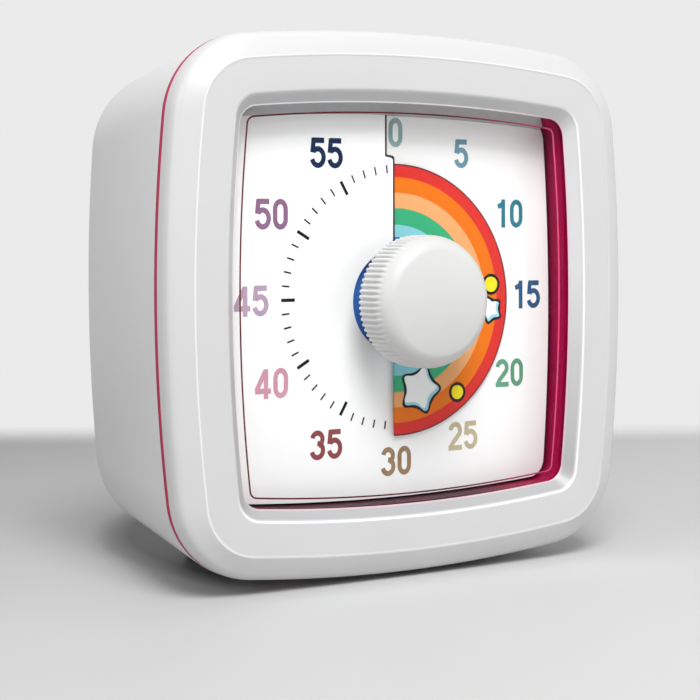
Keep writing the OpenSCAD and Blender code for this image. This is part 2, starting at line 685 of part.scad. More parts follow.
// ---- Board, switch and buzzer ----
module circuit_board() color("#2f7d4f") placed() difference() {
    block([-board_half, board_half], [board_front, board_back], [board_low, board_high]);
    board_corners() rod(board_screw_r + 0.15, board_front - 1, board_back + 1);
}
board_screw_len = board_t + board_room - 1.5;
board_head_r = 1.8;
board_head_h = 1.2;
module board_screws() color(STEEL) placed() board_corners()
    translate([0, board_front, 0]) rotate([0, 0, 180])
        pan_screw(board_screw_r, board_screw_len, board_head_r, board_head_h);
chip_w = 7;
chip_t = 1.4;
module control_chip() color("#222222") placed() translate([-chip_w / 2, board_front - chip_t, board_low + 7])
    cube([chip_w, chip_t, chip_w]);
crystal_r = 1.5;
crystal_len = 8;
module quartz_crystal() color(STEEL) placed()
    translate([chip_w, board_front - crystal_r, board_low + 4.5]) rotate([0, 90, 0])
        cylinder(r = crystal_r, h = crystal_len);
module buzzer() color(MOVEMENT_BLACK) placed() translate([buzzer_at[0], 0, buzzer_at[1]]) difference() {
    rod(buzzer_r, board_back, back_inner - 0.9);
    rod(1.2, back_inner - 2.5, back_inner);
}
switch_half = [4.9, 2.6];
switch_deep = 4;
module switch_body() color(STEEL) placed() translate([switch_at[0], 0, switch_at[1]]) difference() {
    block([-switch_half[0], switch_half[0]], [board_back, board_back + switch_deep],
        [-switch_half[1], switch_half[1]]);
    block([-stem_half[0] - slider_travel - move_gap, stem_half[0] + slider_travel + move_gap],
        [board_back + switch_deep - 1.8, board_back + switch_deep + 1],
        [-stem_half[1] - move_gap, stem_half[1] + move_gap]);
}
module volume_slider() color(MOVEMENT_BLACK) placed() translate([switch_at[0], 0, switch_at[1]]) {
    block([-stem_half[0], stem_half[0]], [board_back + switch_deep - 1.2, case_depth - 0.5],
        [-stem_half[1], stem_half[1]]);
    block([-cap_half[0], cap_half[0]], [case_depth - 0.8, case_depth], [-cap_half[1], cap_half[1]]);
}

// ---- Battery, contacts and leads ----
button_h = 1.2;
plate_contact_t = 0.5;
button_r = 2.7;
module battery_cell() color("#c9a15a") placed()
    translate([bay_half - plate_contact_t - cell_len, cell_y, cell_z]) rotate([0, 90, 0]) {
        cylinder(r = cell_r, h = cell_len - button_h);
        cylinder(r = button_r, h = cell_len);
    }
contact_half = 5;
tab_half = 1.5;
tab_top = bay_top + bay_wall + 2.8;
module contact_tab(x, gap) {
    block([x - gap, x + plate_contact_t + gap], [cell_y - tab_half - gap, cell_y + tab_half + gap],
        [bay_top - 2, tab_top]);
}
module contact_tabs(gap) {
    contact_tab(-bay_half, gap);
    contact_tab(bay_half - plate_contact_t, gap);
}
module contact_plate(x) {
    block([x, x + plate_contact_t], [cell_y - contact_half, cell_y + contact_half],
        [cell_z - contact_half, cell_z + contact_half]);
    block([x, x + plate_contact_t], [cell_y - tab_half, cell_y + tab_half], [cell_z, bay_top - 1]);
    contact_tab(x, 0);
}
module positive_contact() color(STEEL) placed() contact_plate(bay_half - plate_contact_t);
spring_turns = 3;
spring_wire = 0.3;
spring_r = 4.2;
spring_len = 2 * bay_half - 2 * plate_contact_t - cell_len;
module negative_contact() color(STEEL) placed() {
    contact_plate(-bay_half);
    sweep([for (k = [0 : 12 * spring_turns])
        let (a = 30 * k, f = k / (12 * spring_turns), r = spring_r * (1 - 0.43 * f))
        let (x = -bay_half + plate_contact_t + spring_wire + f * (spring_len - 2 * spring_wire))
        [for (c = [0 : 3]) let (b = 45 + 90 * c)
            [x + spring_wire * sin(b), cell_y + (r + spring_wire * cos(b)) * sin(a),
             cell_z + (r + spring_wire * cos(b)) * cos(a)]]]);
}
lead_r = 0.6;
lead_x = board_half - board_hole_in - board_head_r - lead_r - 0.1;
module battery_leads() color("#c8312b") placed() for (side = [-1, 1]) {
    y = board_front - lead_r;
    z = tab_top - lead_r - 0.2;
    wire([[side * (bay_half - plate_contact_t), y, z], [side * lead_x, y, z],
        [side * lead_x, y, board_low + 4]], lead_r);
}
coil_lead_r = 0.2;
module coil_leads() color(COPPER) placed() on_axis() for (side = [-1, 1]) {
    x = lead_hole_at[0] + 0.35 * side;
    y = stator_y + stator_t / 2;
    wire([[x, y, coil_high], [x, y, lead_hole_at[1]], [x, board_front, lead_hole_at[1]]], coil_lead_r);
}

front_bezel();
mid_frame();
rear_shell();
lens();
dial_plate();
rainbow_disc();
disc_hub();
knob();
knob_shaft();
clutch_spring();
movement_front();
movement_back();
centre_wheel();
third_wheel();
seconds_wheel();
intermediate_wheel();
rotor();
stator();
coil_bobbin();
coil_winding();
movement_screws();
circuit_board();
control_chip();
quartz_crystal();
buzzer();
switch_body();
volume_slider();
board_screws();
battery_cell();
positive_contact();
negative_contact();
battery_leads();
coil_leads();
battery_door();
case_screws();
bezel_screws();
rubber_feet();
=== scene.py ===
import math

import bmesh
import bpy
from mathutils import Matrix, Quaternion, Vector


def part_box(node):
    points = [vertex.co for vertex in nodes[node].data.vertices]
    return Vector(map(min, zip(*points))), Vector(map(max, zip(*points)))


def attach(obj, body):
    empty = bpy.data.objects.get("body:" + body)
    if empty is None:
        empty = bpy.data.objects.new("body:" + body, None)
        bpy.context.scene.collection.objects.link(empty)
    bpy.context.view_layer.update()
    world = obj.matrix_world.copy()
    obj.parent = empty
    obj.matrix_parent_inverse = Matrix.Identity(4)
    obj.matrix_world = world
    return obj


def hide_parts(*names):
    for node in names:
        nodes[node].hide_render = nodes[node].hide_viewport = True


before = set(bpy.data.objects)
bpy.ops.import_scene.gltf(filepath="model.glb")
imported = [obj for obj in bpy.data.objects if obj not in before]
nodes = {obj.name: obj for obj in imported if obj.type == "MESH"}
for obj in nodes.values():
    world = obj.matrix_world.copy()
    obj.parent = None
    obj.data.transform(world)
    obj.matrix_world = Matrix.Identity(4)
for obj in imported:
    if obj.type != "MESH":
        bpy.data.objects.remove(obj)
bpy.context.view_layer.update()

# ---- Camera ----
# A long lens to the left of the timer and just above its middle, so that the left flank shows beside the
# face. It is turned a little to the left of the timer and down.
camera_data = bpy.data.cameras.new("camera")
camera_data.sensor_width = 36
camera_data.lens = 84.1
camera = bpy.data.objects.new("camera", camera_data)
bpy.context.scene.collection.objects.link(camera)
camera.location = (-0.14054, -0.23162, 0.05225)
heading = math.radians(31.114)
droop = math.radians(3.664)
roll = math.radians(-0.25)
level = math.cos(droop)
look = Vector((math.sin(heading) * level, math.cos(heading) * level, -math.sin(droop)))
camera.rotation_mode = "QUATERNION"
camera.rotation_quaternion = look.to_track_quat("-Z", "Y") @ Quaternion((0, 0, 1), roll)
bpy.context.scene.camera = camera

# ---- Tray ----
# Glossy magenta moulding that everything else is screwed to. Its rim is the thin line round the case, its
# wall stands round the dial, and posts on its floor carry the dial. Sizes are in mm from the face's middle.
MM = 0.001
X, Y, Z = range(3)
low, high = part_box("front_bezel")
FACE = Vector((0, low.y, (low.z + high.z) / 2))


def span(node, axis):
    """Where a piece of the frame starts and ends along an axis, in mm from the middle of the face."""
    return [(corner[axis] - FACE[axis]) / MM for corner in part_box(node)]


axis_z = sum(span("knob", Z)) / 2
half_w = span("front_bezel", X)[1]
seam_front = span("front_bezel", Y)[1]
seam_back = span("rear_shell", Y)[0]
lens_front, lens_back = span("lens", Y)
tray_wall = 1.6
floor_back = span("movement_front", Y)[0]
floor_front = floor_back - tray_wall

# Outlines as half width, fall of the corners and corner radius
SEAM = (half_w, 3.4, 13.6)
WINDOW = (31.2, 1.8, 3.0)
DIAL = (30.8, 1.38, 3.0)
SIDE_STEPS = 12
CORNER_STEPS = 14


def at(shape, depth, inset=0.0):
    """An outline drawn in by inset, with its depth added."""
    half, bow, corner = shape
    return (half - inset, bow * (half - inset) / half, max(corner - inset, 0.8), depth)


def outline(shape):
    """Points (x, z) round a square with bowed sides, clockwise from the middle of the top."""
    half, bow, corner = shape[:3]
    bend = (half * half + bow * bow) / (2 * bow)
    gap = bend - half
    reach = bend - corner
    middle = (math.sqrt(2 * reach * reach - gap * gap) - gap) / 2
    turn = math.atan2(middle, middle + gap)
    side = [(bend * math.sin(turn * i / SIDE_STEPS), bend * math.cos(turn * i / SIDE_STEPS) - gap)
            for i in range(SIDE_STEPS + 1)]
    sweep = math.pi / 2 - 2 * turn
    arc = [math.pi / 2 - turn - sweep * i / CORNER_STEPS for i in range(1, CORNER_STEPS)]
    corner_points = [(middle + corner * math.cos(a), middle + corner * math.sin(a)) for a in arc]
    quarter = side + corner_points + [(z, x) for x, z in side[:0:-1]]
    points = []
    for _ in range(4):
        points += quarter
        quarter = [(z, -x) for x, z in quarter]
    return points


def rounded(controls, steps):
    """Rings through a profile of (ring, radius) pairs, each corner rounded by its radius."""
    rings = []
    for k, (here, radius) in enumerate(controls):
        ends = []
        for other in (controls[k - 1][0], controls[(k + 1) % len(controls)][0]):
            length = math.hypot(other[0] - here[0], other[3] - here[3])
            share = min(radius / length, 0.45) if length else 0
            ends.append([h + (o - h) * share for h, o in zip(here, other)])
        if not radius:
            rings.append(here)
            continue
        for i in range(steps + 1):
            t = i / steps
            rings.append(tuple(a * (1 - t) ** 2 + 2 * h * t * (1 - t) + b * t * t
                               for a, h, b in zip(ends[0], here, ends[1])))
    return rings


def skin(rings):
    """Rings of points (x, y, z) from outlines with their depths."""
    return [[(x, ring[3], z) for x, z in outline(ring)] for ring in rings]


def loft(bm, rings, closed=False):
    """Joins rings of points into a skin, with a face at each end unless it closes on itself."""
    rows = [[bm.verts.new(p) for p in ring] for ring in rings]
    count = len(rows[0])
    for near, far in zip(rows, rows[1:] + rows[:1] if closed else rows[1:]):
        for i in range(count):
            j = (i + 1) % count
            bm.faces.new((near[i], far[i], far[j], near[j]))
    if not closed:
        bm.faces.new(rows[0][::-1])
        bm.faces.new(rows[-1])


def rod(place, profile, count=32, axis=Y):
    """Rings of a turned solid along an axis, through (radius, depth) pairs, round its other coordinates."""
    rings = []
    for radius, depth in profile:
        ring = []
        for i in range(count):
            angle = 2 * math.pi * i / count
            point = [place[0] + radius * math.sin(angle), place[1] + radius * math.cos(angle)]
            point.insert(axis, depth)
            ring.append(point)
        rings.append(ring)
    return rings


def rods(places, profile, count=32, axis=Y):
    """The same turned solid at several places."""
    return [rod(place, profile, count, axis) for place in places]


def corners(half):
    """The four corners of a square round the middle of the face."""
    return [(x, z) for x in (-half, half) for z in (-half, half)]


def piece(name, bm):
    """A mesh object at the origin, from a bmesh in mm from the middle of the face."""
    bmesh.ops.recalc_face_normals(bm, faces=bm.faces)
    bm.transform(Matrix.Translation(FACE) @ Matrix.Scale(MM, 4))
    mesh = bpy.data.meshes.new(name)
    bm.to_mesh(mesh)
    bm.free()
    made = bpy.data.objects.new(name, mesh)
    bpy.context.scene.collection.objects.link(made)
    return made


def solid(name, *skins, closed=False):
    """A piece from skins, each a list of rings of points."""
    bm = bmesh.new()
    for rings in skins:
        loft(bm, rings, closed)
    return piece(name, bm)


def settle(obj):
    """Turns an object's modifiers into plain mesh."""
    graph = bpy.context.evaluated_depsgraph_get()
    mesh = bpy.data.meshes.new_from_object(obj.evaluated_get(graph))
    obj.modifiers.clear()
    obj.data = mesh


def combine(obj, tool, operation):
    """Joins a tool object on or cuts it out, and removes the tool."""
    cut = obj.modifiers.new("cut", "BOOLEAN")
    cut.object = tool
    cut.operation = operation
    cut.solver = "EXACT"
    settle(obj)
    bpy.data.objects.remove(tool)


def join(obj, *skins):
    """Joins solids on to an object."""
    combine(obj, solid("tool", *skins), "UNION")


def carve(obj, *skins):
    """Cuts solids out of an object."""
    combine(obj, solid("tool", *skins), "DIFFERENCE")


class Value:
    """An output socket in a material, so that sums on it add nodes."""

    def __init__(self, tree, socket):
        self.tree = tree
        self.socket = socket

    def node(self, kind, settings, inputs, output=0):
        """Any node: its settings are set first, then its sockets, by values or links."""
        made = self.tree.nodes.new("ShaderNode" + kind)
        for name, value in settings.items():
            if name == "stops":
                ramp = made.color_ramp.elements
                while len(ramp) < len(value):
                    ramp.new(0.5)
                for stop, (place, colour) in zip(ramp, value):
                    stop.position = place
                    stop.color = (*colour, 1)
            elif name == "interpolation":
                made.color_ramp.interpolation = value
            else:
                setattr(made, name, value)
        for name, value in inputs.items():
            if isinstance(value, Value):
                self.tree.links.new(value.socket, made.inputs[name])
            else:
                made.inputs[name].default_value = value
        return Value(self.tree, made.outputs[output])

    def maths(self, operation, other=0.0):
        return self.node("Math", {"operation": operation}, {0: self, 1: other})

    def __add__(self, other):
        return self.maths("ADD", other)

    def __sub__(self, other):
        return self.maths("SUBTRACT", other)

    def __rsub__(self, other):
        return self.node("Math", {"operation": "SUBTRACT"}, {0: other, 1: self})

    def __mul__(self, other):
        return self.maths("MULTIPLY", other)

    __radd__ = __add__
    __rmul__ = __mul__

    def vector(self, operation, other=(0, 0, 0), output=0):
        """Vector maths. A length or a dot product is on output 1."""
        return self.node("VectorMath", {"operation": operation}, {0: self, 1: other}, output)

    def mm_from(self, point):
        """A place in metres as its offset in mm from a point."""
        return self.vector("SUBTRACT", point).vector("MULTIPLY", [1 / MM] * 3)

    def part(self, index):
        return self.node("SeparateXYZ", {}, {0: self}, index)

    def ramp(self, start, end):
        """0 below start, 1 above end."""
        return self.node("MapRange", {}, {"Value": self, "From Min": start, "From Max": end})

    def between(self, start, full, end, gone):
        """1 from full to end, falling to 0 at start and at gone."""
        return self.ramp(start, full) * (1 - self.ramp(end, gone))

    def blend(self, first, second):
        """first where this is 0, second where it is 1."""
        colours = [c if isinstance(c, Value) else (*c, 1) for c in (first, second)]
        return self.node("Mix", {"data_type": "RGBA"}, {0: self, 6: colours[0], 7: colours[1]}, 2)

    def flecked(self, amount, grain):
        """This colour with some grain in soft light over it."""
        return self.node("Mix", {"data_type": "RGBA", "blend_type": "SOFT_LIGHT"},
                         {0: amount, 6: self, 7: grain}, 2)

    def noise(self, scale, detail=2.0):
        """Even noise round 0.5, with features of about 1 / scale metres."""
        return self.node("TexNoise", {}, {"Vector": self, "Scale": scale, "Detail": detail})

    def bump(self, distance):
        """A normal from this height, where 1 stands distance metres proud."""
        return self.node("Bump", {}, {"Height": self, "Distance": distance})


def surface(name, colour, roughness, **sockets):
    """A plain Principled material. Returns it, its Object coordinates and a way to link its sockets."""
    made = bpy.data.materials.new(name)
    made.use_nodes = True
    tree = made.node_tree
    shader = tree.nodes["Principled BSDF"]
    shader.inputs["Base Color"].default_value = (*colour, 1)
    shader.inputs["Roughness"].default_value = roughness
    for socket, value in sockets.items():
        shader.inputs[socket.replace("_", " ")].default_value = value
    place = Value(tree, tree.nodes.new("ShaderNodeTexCoord").outputs["Object"])

    def link(**values):
        for socket, value in values.items():
            tree.links.new(value.socket, shader.inputs[socket.replace("_", " ")])

    return made, place, link


def dress(obj, material, angle=30):
    """Gives an object its material, with smooth shading except across sharp edges."""
    obj.data.materials.clear()
    obj.data.materials.append(material)
    obj.data.polygons.foreach_set("use_smooth", [True] * len(obj.data.polygons))
    obj.data.set_sharp_from_angle(angle=math.radians(angle))


magenta, place, link = surface("magenta_plastic", (0.35, 0.0025, 0.054), 0.3, Specular_IOR_Level=0.03)
cloud = place.noise(90, 3)
from_face = place.mm_from(FACE)
across, depth, up = [from_face.part(k) for k in range(3)]
rim = across.maths("ABSOLUTE").maths("MAXIMUM", up.maths("ABSOLUTE")).ramp(36, 37)
moulded = cloud.ramp(0.3, 0.7).blend((0.33, 0.0022, 0.05), (0.37, 0.0028, 0.058))
bright = rim.blend(moulded, (0.45, 0.04, 0.10))
# Painted shade: the wall is darkened at its foot, next to the dial, and darker still on its lower side
foot = depth.between(5.2, 7.2, 9, 9.5)
low_wall_shade = up.between(-33, -32.9, -30.5, -27.5) * across.between(-33, -32, 14, 27) * (1 - depth.ramp(9, 9.5))
link(Base_Color=low_wall_shade.blend(foot.blend(bright, (0.13, 0.001, 0.022)), (0.085, 0.03, 0.042)),
     Roughness=cloud * 0.12 + 0.22,
     Normal=place.noise(2600, 1).bump(0.000006))

rib = 2.45
wall_rings = [(at(DIAL, floor_front, -0.25), 0), (at(DIAL, lens_back + 0.25, -0.5), 0.2),
              (at(WINDOW, lens_back, -1.3), 0.1), (at(WINDOW, lens_front + 0.1, -1.3), 0.1),
              (at(WINDOW, lens_front + 0.1, -2.4), 0.1), (at(WINDOW, seam_front, -2.4), 0.1),
              (at(SEAM, seam_front, 0.35), 0), (at(SEAM, seam_front + 0.02, 0.03), 0.04),
              (at(SEAM, seam_back - 0.02, 0.03), 0.04), (at(SEAM, seam_back, 0.35), 0),
              (at(SEAM, seam_back, rib), 0.1), (at(SEAM, seam_back + 1.5, rib + 0.1), 0.2),
              (at(SEAM, seam_back + 1.5, rib + 1), 0.2), (at(SEAM, seam_back, rib + 1), 0.1),
              (at(WINDOW, seam_back, -tray_wall), 0.2), (at(WINDOW, floor_back, -tray_wall), 0)]
tray = solid("tray", skin(rounded(wall_rings, 3)))

FILM = 0.5
STEP = 1.6
film_mid = 6.8


def film_y(turn):
    """Depth of the dial's middle surface at a turn of 0 to 1 clockwise from its slit."""
    return film_mid + STEP * (0.5 - turn)


case_boss_end = span("movement_back", Y)[1] - 2
case_shank = 1.28
case_head_r = 2.3
thread_gap = 0.04
case_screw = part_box("case_screws")[1].x / MM - case_head_r
shaft_bore = 2.05
posts = rods(corners(case_screw), [(3.3, floor_back - 0.1), (3.1, case_boss_end)])
# The dial's posts stand in a square, every eighth of a turn and on both sides of the slit
dial_post = WINDOW[0] - 4.4
for angle in (8, 45, 90, 135, 180, 225, 270, 315, 352):
    sine = math.sin(math.radians(angle))
    cosine = math.cos(math.radians(angle))
    reach = dial_post / max(abs(sine), abs(cosine))
    posts.append(rod((reach * sine, reach * cosine + axis_z),
                     [(1.5, film_y(angle / 360) + FILM / 2 - 0.1), (1.7, floor_front + 0.1)], 20))
join(tray, *posts)
carve(tray, rod((0, axis_z), [(shaft_bore, floor_front - 1), (shaft_bore, floor_back + 1)]),
      *rods(corners(case_screw), [(case_shank + thread_gap, case_boss_end - 8),
                                  (case_shank + thread_gap, case_boss_end + 1)], 20))
dress(tray, magenta)
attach(tray, "case")
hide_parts("mid_frame")

# ---- Movement ----
# Quartz movement on the back of the tray: a black two-part case, stamped brass wheels with cut teeth, an
# acetal wheel, a sintered magnet and a laminated pole piece. The pieces keep the frame's meshes.


def grained(name, colour, roughness, tone=None, shine=None, relief=None, **sockets):
    """A material that varies by noise: its tone by (scale, detail, first, second), its roughness by (scale,
    detail, spread, least) and its relief by (scale, detail, height)."""
    made, place, link = surface(name, colour, roughness, **sockets)
    if tone:
        link(Base_Color=place.noise(*tone[:2]).blend(*tone[2:]))
    if shine:
        link(Roughness=place.noise(*shine[:2]) * shine[2] + shine[3])
    if relief:
        link(Normal=place.noise(*relief[:2]).bump(relief[2]))
    return made


def coat(material, *names):
    """Gives pieces of the frame their material."""
    for name in names:
        slots = nodes[name].data.materials
        slots.clear()
        slots.append(material)


black_plastic = grained("movement_black", (0.018, 0.019, 0.022), 0.4,
                        tone=(180, 3, (0.015, 0.016, 0.018), (0.024, 0.025, 0.028)),
                        shine=(400, 2, 0.2, 0.34), relief=(4000, 2, 0.000006))
coat(black_plastic, "movement_front", "movement_back")

brass, place, link = surface("brass", (0.72, 0.50, 0.18), 0.28, Metallic=1.0)
grain = place.vector("MULTIPLY", (9000, 400, 900)).noise(1, 2)
link(Base_Color=grain.blend((0.66, 0.44, 0.15), (0.78, 0.57, 0.24)), Roughness=grain * 0.2 + 0.2,
     Normal=grain.bump(0.000002))
coat(brass, "centre_wheel", "third_wheel", "seconds_wheel")

acetal = grained("gear_plastic", (0.80, 0.77, 0.68), 0.42,
                 tone=(300, 2, (0.78, 0.75, 0.66), (0.83, 0.80, 0.72)), shine=(500, 2, 0.15, 0.35))
coat(acetal, "intermediate_wheel", "coil_bobbin")

magnet = grained("magnet", (0.07, 0.07, 0.075), 0.5, Metallic=0.6,
                 tone=(7000, 3, (0.05, 0.05, 0.055), (0.11, 0.11, 0.115)),
                 shine=(7000, 3, 0.3, 0.35), relief=(7000, 3, 0.00001))
coat(magnet, "rotor")

steel = grained("steel", (0.60, 0.61, 0.63), 0.28, Metallic=1.0,
                tone=(1400, 3, (0.55, 0.56, 0.59), (0.66, 0.67, 0.68)),
                shine=(1400, 3, 0.25, 0.16), relief=(1400, 3, 0.000002))
coat(steel, "stator", "knob_shaft", "clutch_spring")

# The winding's turns lie side by side up the bobbin
copper, place, link = surface("copper_wire", (0.55, 0.20, 0.06), 0.3, Metallic=0.9)
turns = (place.part(Z) * 26000).maths("SINE")
link(Base_Color=turns.ramp(-1, 1).blend((0.36, 0.11, 0.03), (0.68, 0.28, 0.10)),
     Roughness=place.noise(900) * 0.2 + 0.22, Normal=turns.bump(0.00004))
coat(copper, "coil_winding", "coil_leads")

# ---- Screws ----
# Zinc-plated pan-head screws with a cross recess: four through the movement, four that hold the bezel to
# the tray and four in the wells of the rear case are driven from the back, the board's four from the front.


def node_tree(name, **inputs):
    """An empty geometry tree with a mesh going through and named numbers in. Returns it and both ends."""
    tree = bpy.data.node_groups.new(name, "GeometryNodeTree")
    tree.interface.new_socket("Geometry", in_out="INPUT", socket_type="NodeSocketGeometry")
    for socket, kind in inputs.items():
        tree.interface.new_socket(socket, in_out="INPUT", socket_type="NodeSocket" + kind)
    tree.interface.new_socket("Geometry", in_out="OUTPUT", socket_type="NodeSocketGeometry")
    return tree, tree.nodes.new("NodeGroupInput").outputs, tree.nodes.new("NodeGroupOutput")


def add(tree, kind, inputs, output=0, **settings):
    """A geometry node, with its settings set first and then its sockets, by values or links."""
    made = tree.nodes.new(kind)
    for name, value in settings.items():
        setattr(made, name, value)
    for name, value in inputs.items():
        if isinstance(value, bpy.types.NodeSocket):
            tree.links.new(value, made.inputs[name])
        else:
            made.inputs[name].default_value = value
    return made.outputs[output]


def end_tree(tree, drain, geometry, material):
    """Closes a tree with real geometry in its material."""
    real = add(tree, "GeometryNodeRealizeInstances", {"Geometry": geometry})
    coated = add(tree, "GeometryNodeSetMaterial", {"Geometry": real, "Material": material})
    tree.links.new(coated, drain.inputs[0])


def grow(obj, tree, **values):
    """Runs a tree on an object with its inputs set by their identifiers, and keeps the result as mesh."""
    modifier = obj.modifiers.new("tree", "NODES")
    modifier.node_group = tree
    for socket in tree.interface.items_tree:
        if socket.name in values:
            modifier[socket.identifier] = values[socket.name]
    settle(obj)


def block(x, y, z):
    """Rings of a box from its ranges along the three axes."""
    (left, right), (low, high) = x, z
    return [[(left, depth, low), (right, depth, low), (right, depth, high), (left, depth, high)]
            for depth in y]


def screw(radius, length, head_r, head_h, facing):
    """A screw at the frame's origin with its shank towards the front, or the back where facing is -1."""
    pitch = 0.5
    core = 0.8 * radius
    bevel = 0.12
    profile = [(0.25 * radius, -length), (core, -length + pitch)]
    for k in range(int((length - 1.2) / pitch)):
        profile += [(radius, -length + pitch * (1.5 + k)), (core, -length + pitch * (2 + k))]
    profile += [(radius, -0.1), (radius, 0), (head_r - bevel, 0), (head_r, bevel)]
    profile += [(head_r * math.cos(math.radians(a)), head_h * (0.4 + 0.6 * math.sin(math.radians(a))))
                for a in range(0, 96, 12)]
    made = solid("master", rod((0, 0), profile, 40))
    slot = (head_r * 0.52, head_r * 0.11)
    for across, up in (slot, slot[::-1]):
        carve(made, block((-across, across), (head_h * 0.42, head_h + 1), (-up, up)))
    made.data.transform(Matrix.Translation(-FACE))
    if facing < 0:
        made.data.transform(Matrix.Rotation(math.pi, 4, "Z"))
    return made


driven, into, drain = node_tree("screws", Screw="Object", Across="Float", Up="Float", Middle="Vector",
                                Material="Material")
grid = add(driven, "GeometryNodeMeshGrid", {"Size X": into["Across"], "Size Y": into["Up"],
                                            "Vertices X": 2, "Vertices Y": 2})
stood = add(driven, "GeometryNodeTransform", {"Geometry": grid, "Rotation": (math.pi / 2, 0, 0),
                                              "Translation": into["Middle"]})
master = add(driven, "GeometryNodeObjectInfo", {"Object": into["Screw"]}, "Geometry")
copies = add(driven, "GeometryNodeInstanceOnPoints", {"Points": stood, "Instance": master})
end_tree(driven, drain, copies, into["Material"])


def screws(node, radius, length, head_r, head_h, facing=1):
    """Four screws that take the place of a node of the frame, standing where it stands."""
    first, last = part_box(node)
    seat = (last.y - head_h * MM) if facing > 0 else (first.y + head_h * MM)
    middle = Vector(((first.x + last.x) / 2, seat, (first.z + last.z) / 2))
    master = screw(radius, length, head_r, head_h, facing)
    made = piece(node + "_made", bmesh.new())
    grow(made, driven, Screw=master, Across=last.x - first.x - 2 * head_r * MM,
         Up=last.z - first.z - 2 * head_r * MM, Middle=middle, Material=steel)
    bpy.data.objects.remove(master)
    dress(made, steel, 40)
    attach(made, "case")
    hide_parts(node)


bezel_shank = 0.98
bezel_head_r = 1.9
board_shank = 0.88
screws("movement_screws", 0.93, 11.8, 1.8, 1.1)
screws("bezel_screws", bezel_shank, 4.1, bezel_head_r, 1.3)
screws("board_screws", board_shank, 5.4, 1.8, 1.2, facing=-1)
screws("case_screws", case_shank, 9, case_head_r, 1.6)

# ---- Board, switch and buzzer ----
# Solder-masked board screwed to four posts of the rear case, with the timer chip, its quartz can, a slide
# switch in a folded steel frame and a piezo buzzer behind the sound holes.
board, place, link = surface("board_green", (0.02, 0.16, 0.06), 0.3, Coat_Weight=0.2)
cells = place.node("TexVoronoi", {"feature": "DISTANCE_TO_EDGE", "distance": "MANHATTAN"},
                   {"Vector": place, "Scale": 420})
tracks = cells.ramp(0.10, 0.13)
link(Base_Color=tracks.blend((0.045, 0.26, 0.10), (0.015, 0.13, 0.05)), Roughness=tracks * 0.1 + 0.24,
     Normal=tracks.bump(0.00003))
coat(board, "circuit_board")

resin = grained("chip_black", (0.012, 0.012, 0.013), 0.5,
                shine=(900, 2, 0.2, 0.42), relief=(6000, 3, 0.00001))
coat(resin, "control_chip")
coat(steel, "quartz_crystal", "switch_body")
coat(black_plastic, "buzzer")

red_wire = grained("lead_red", (0.52, 0.015, 0.012), 0.38,
                   tone=(500, 2, (0.47, 0.012, 0.01), (0.58, 0.02, 0.016)), shine=(300, 2, 0.15, 0.3))
coat(red_wire, "battery_leads")

# ---- Hub ----
# Blue moulded hub that carries the disc and slides on the flat of the shaft.
hub_blue = grained("hub_blue", (0.03, 0.085, 0.28), 0.35,
                   tone=(240, 2, (0.026, 0.075, 0.25), (0.036, 0.10, 0.31)), shine=(400, 2, 0.15, 0.28))
coat(hub_blue, "disc_hub")

# ---- Dial ----
# White printed card film, wound one shallow turn so that its two edges overlap at twelve o'clock, where the
# coloured disc threads through. The front edge is cut back in a step and chamfered at the hole.
TURN = 2 * math.pi
hole_r = 8.2
plain_r = 24
edge = [(x, z - axis_z) for x, z in outline(at(DIAL, 0))]


def dial_reach(angle):
    """Distance from the knob's axis to the dial's edge, at an angle in radians from twelve o'clock."""
    sine = math.sin(angle)
    cosine = math.cos(angle)
    best = 0
    for k, (x0, z0) in enumerate(edge):
        x1, z1 = edge[(k + 1) % len(edge)]
        side0 = x0 * cosine - z0 * sine
        side1 = x1 * cosine - z1 * sine
        if side0 <= 0 < side1 or side1 <= 0 < side0:
            share = side0 / (side0 - side1)
            best = max(best, (x0 + (x1 - x0) * share) * sine + (z0 + (z1 - z0) * share) * cosine)
    return best


# The front edge of the slit, as (radius, distance left of the middle)
flap_inner = 0.7
flap_outer = 2.15
step_r = 23.05
arc_r = 0.6
FLAP = [(hole_r, 2.9), (9.6, flap_inner), (step_r - 0.8, flap_inner)]
FLAP += [(step_r - 0.8 + arc_r * math.sin(a), flap_inner + arc_r * (1 - math.cos(a)))
         for a in (0.5, 0.9, 1.25, 1.5)]
FLAP += [(step_r, flap_outer), (plain_r, flap_outer)]


def film(columns, thickness):
    """A thin curved sheet from columns of points on its middle surface."""
    bm = bmesh.new()
    half = thickness / 2
    near = [[bm.verts.new((x, y - half, z)) for x, y, z in column] for column in columns]
    far = [[bm.verts.new((x, y + half, z)) for x, y, z in column] for column in columns]
    for grid, turned in ((near, False), (far, True)):
        for one, two in zip(grid, grid[1:]):
            for k in range(len(one) - 1):
                face = (one[k], one[k + 1], two[k + 1], two[k])
                bm.faces.new(face[::-1] if turned else face)
    for rows in (list(zip(near[0], far[0])), list(zip(near[-1], far[-1])),
                 [(one[0], two[0]) for one, two in zip(near, far)],
                 [(one[-1], two[-1]) for one, two in zip(near, far)]):
        for (a, b), (c, d) in zip(rows, rows[1:]):
            bm.faces.new((a, b, d, c))
    return bm


def on_axis(radius, turn):
    """A place (x, z) at a radius from the knob's axis and a turn clockwise from twelve o'clock."""
    return radius * math.sin(turn * TURN), radius * math.cos(turn * TURN)


def dial_turn(radius, distance, share):
    """The turn on a ring of the dial: share 0 is the end of its tongue and 1 the edge of the flap."""
    tongue = -0.045
    return tongue + (1 - math.asin(distance / radius) / TURN - tongue) * share


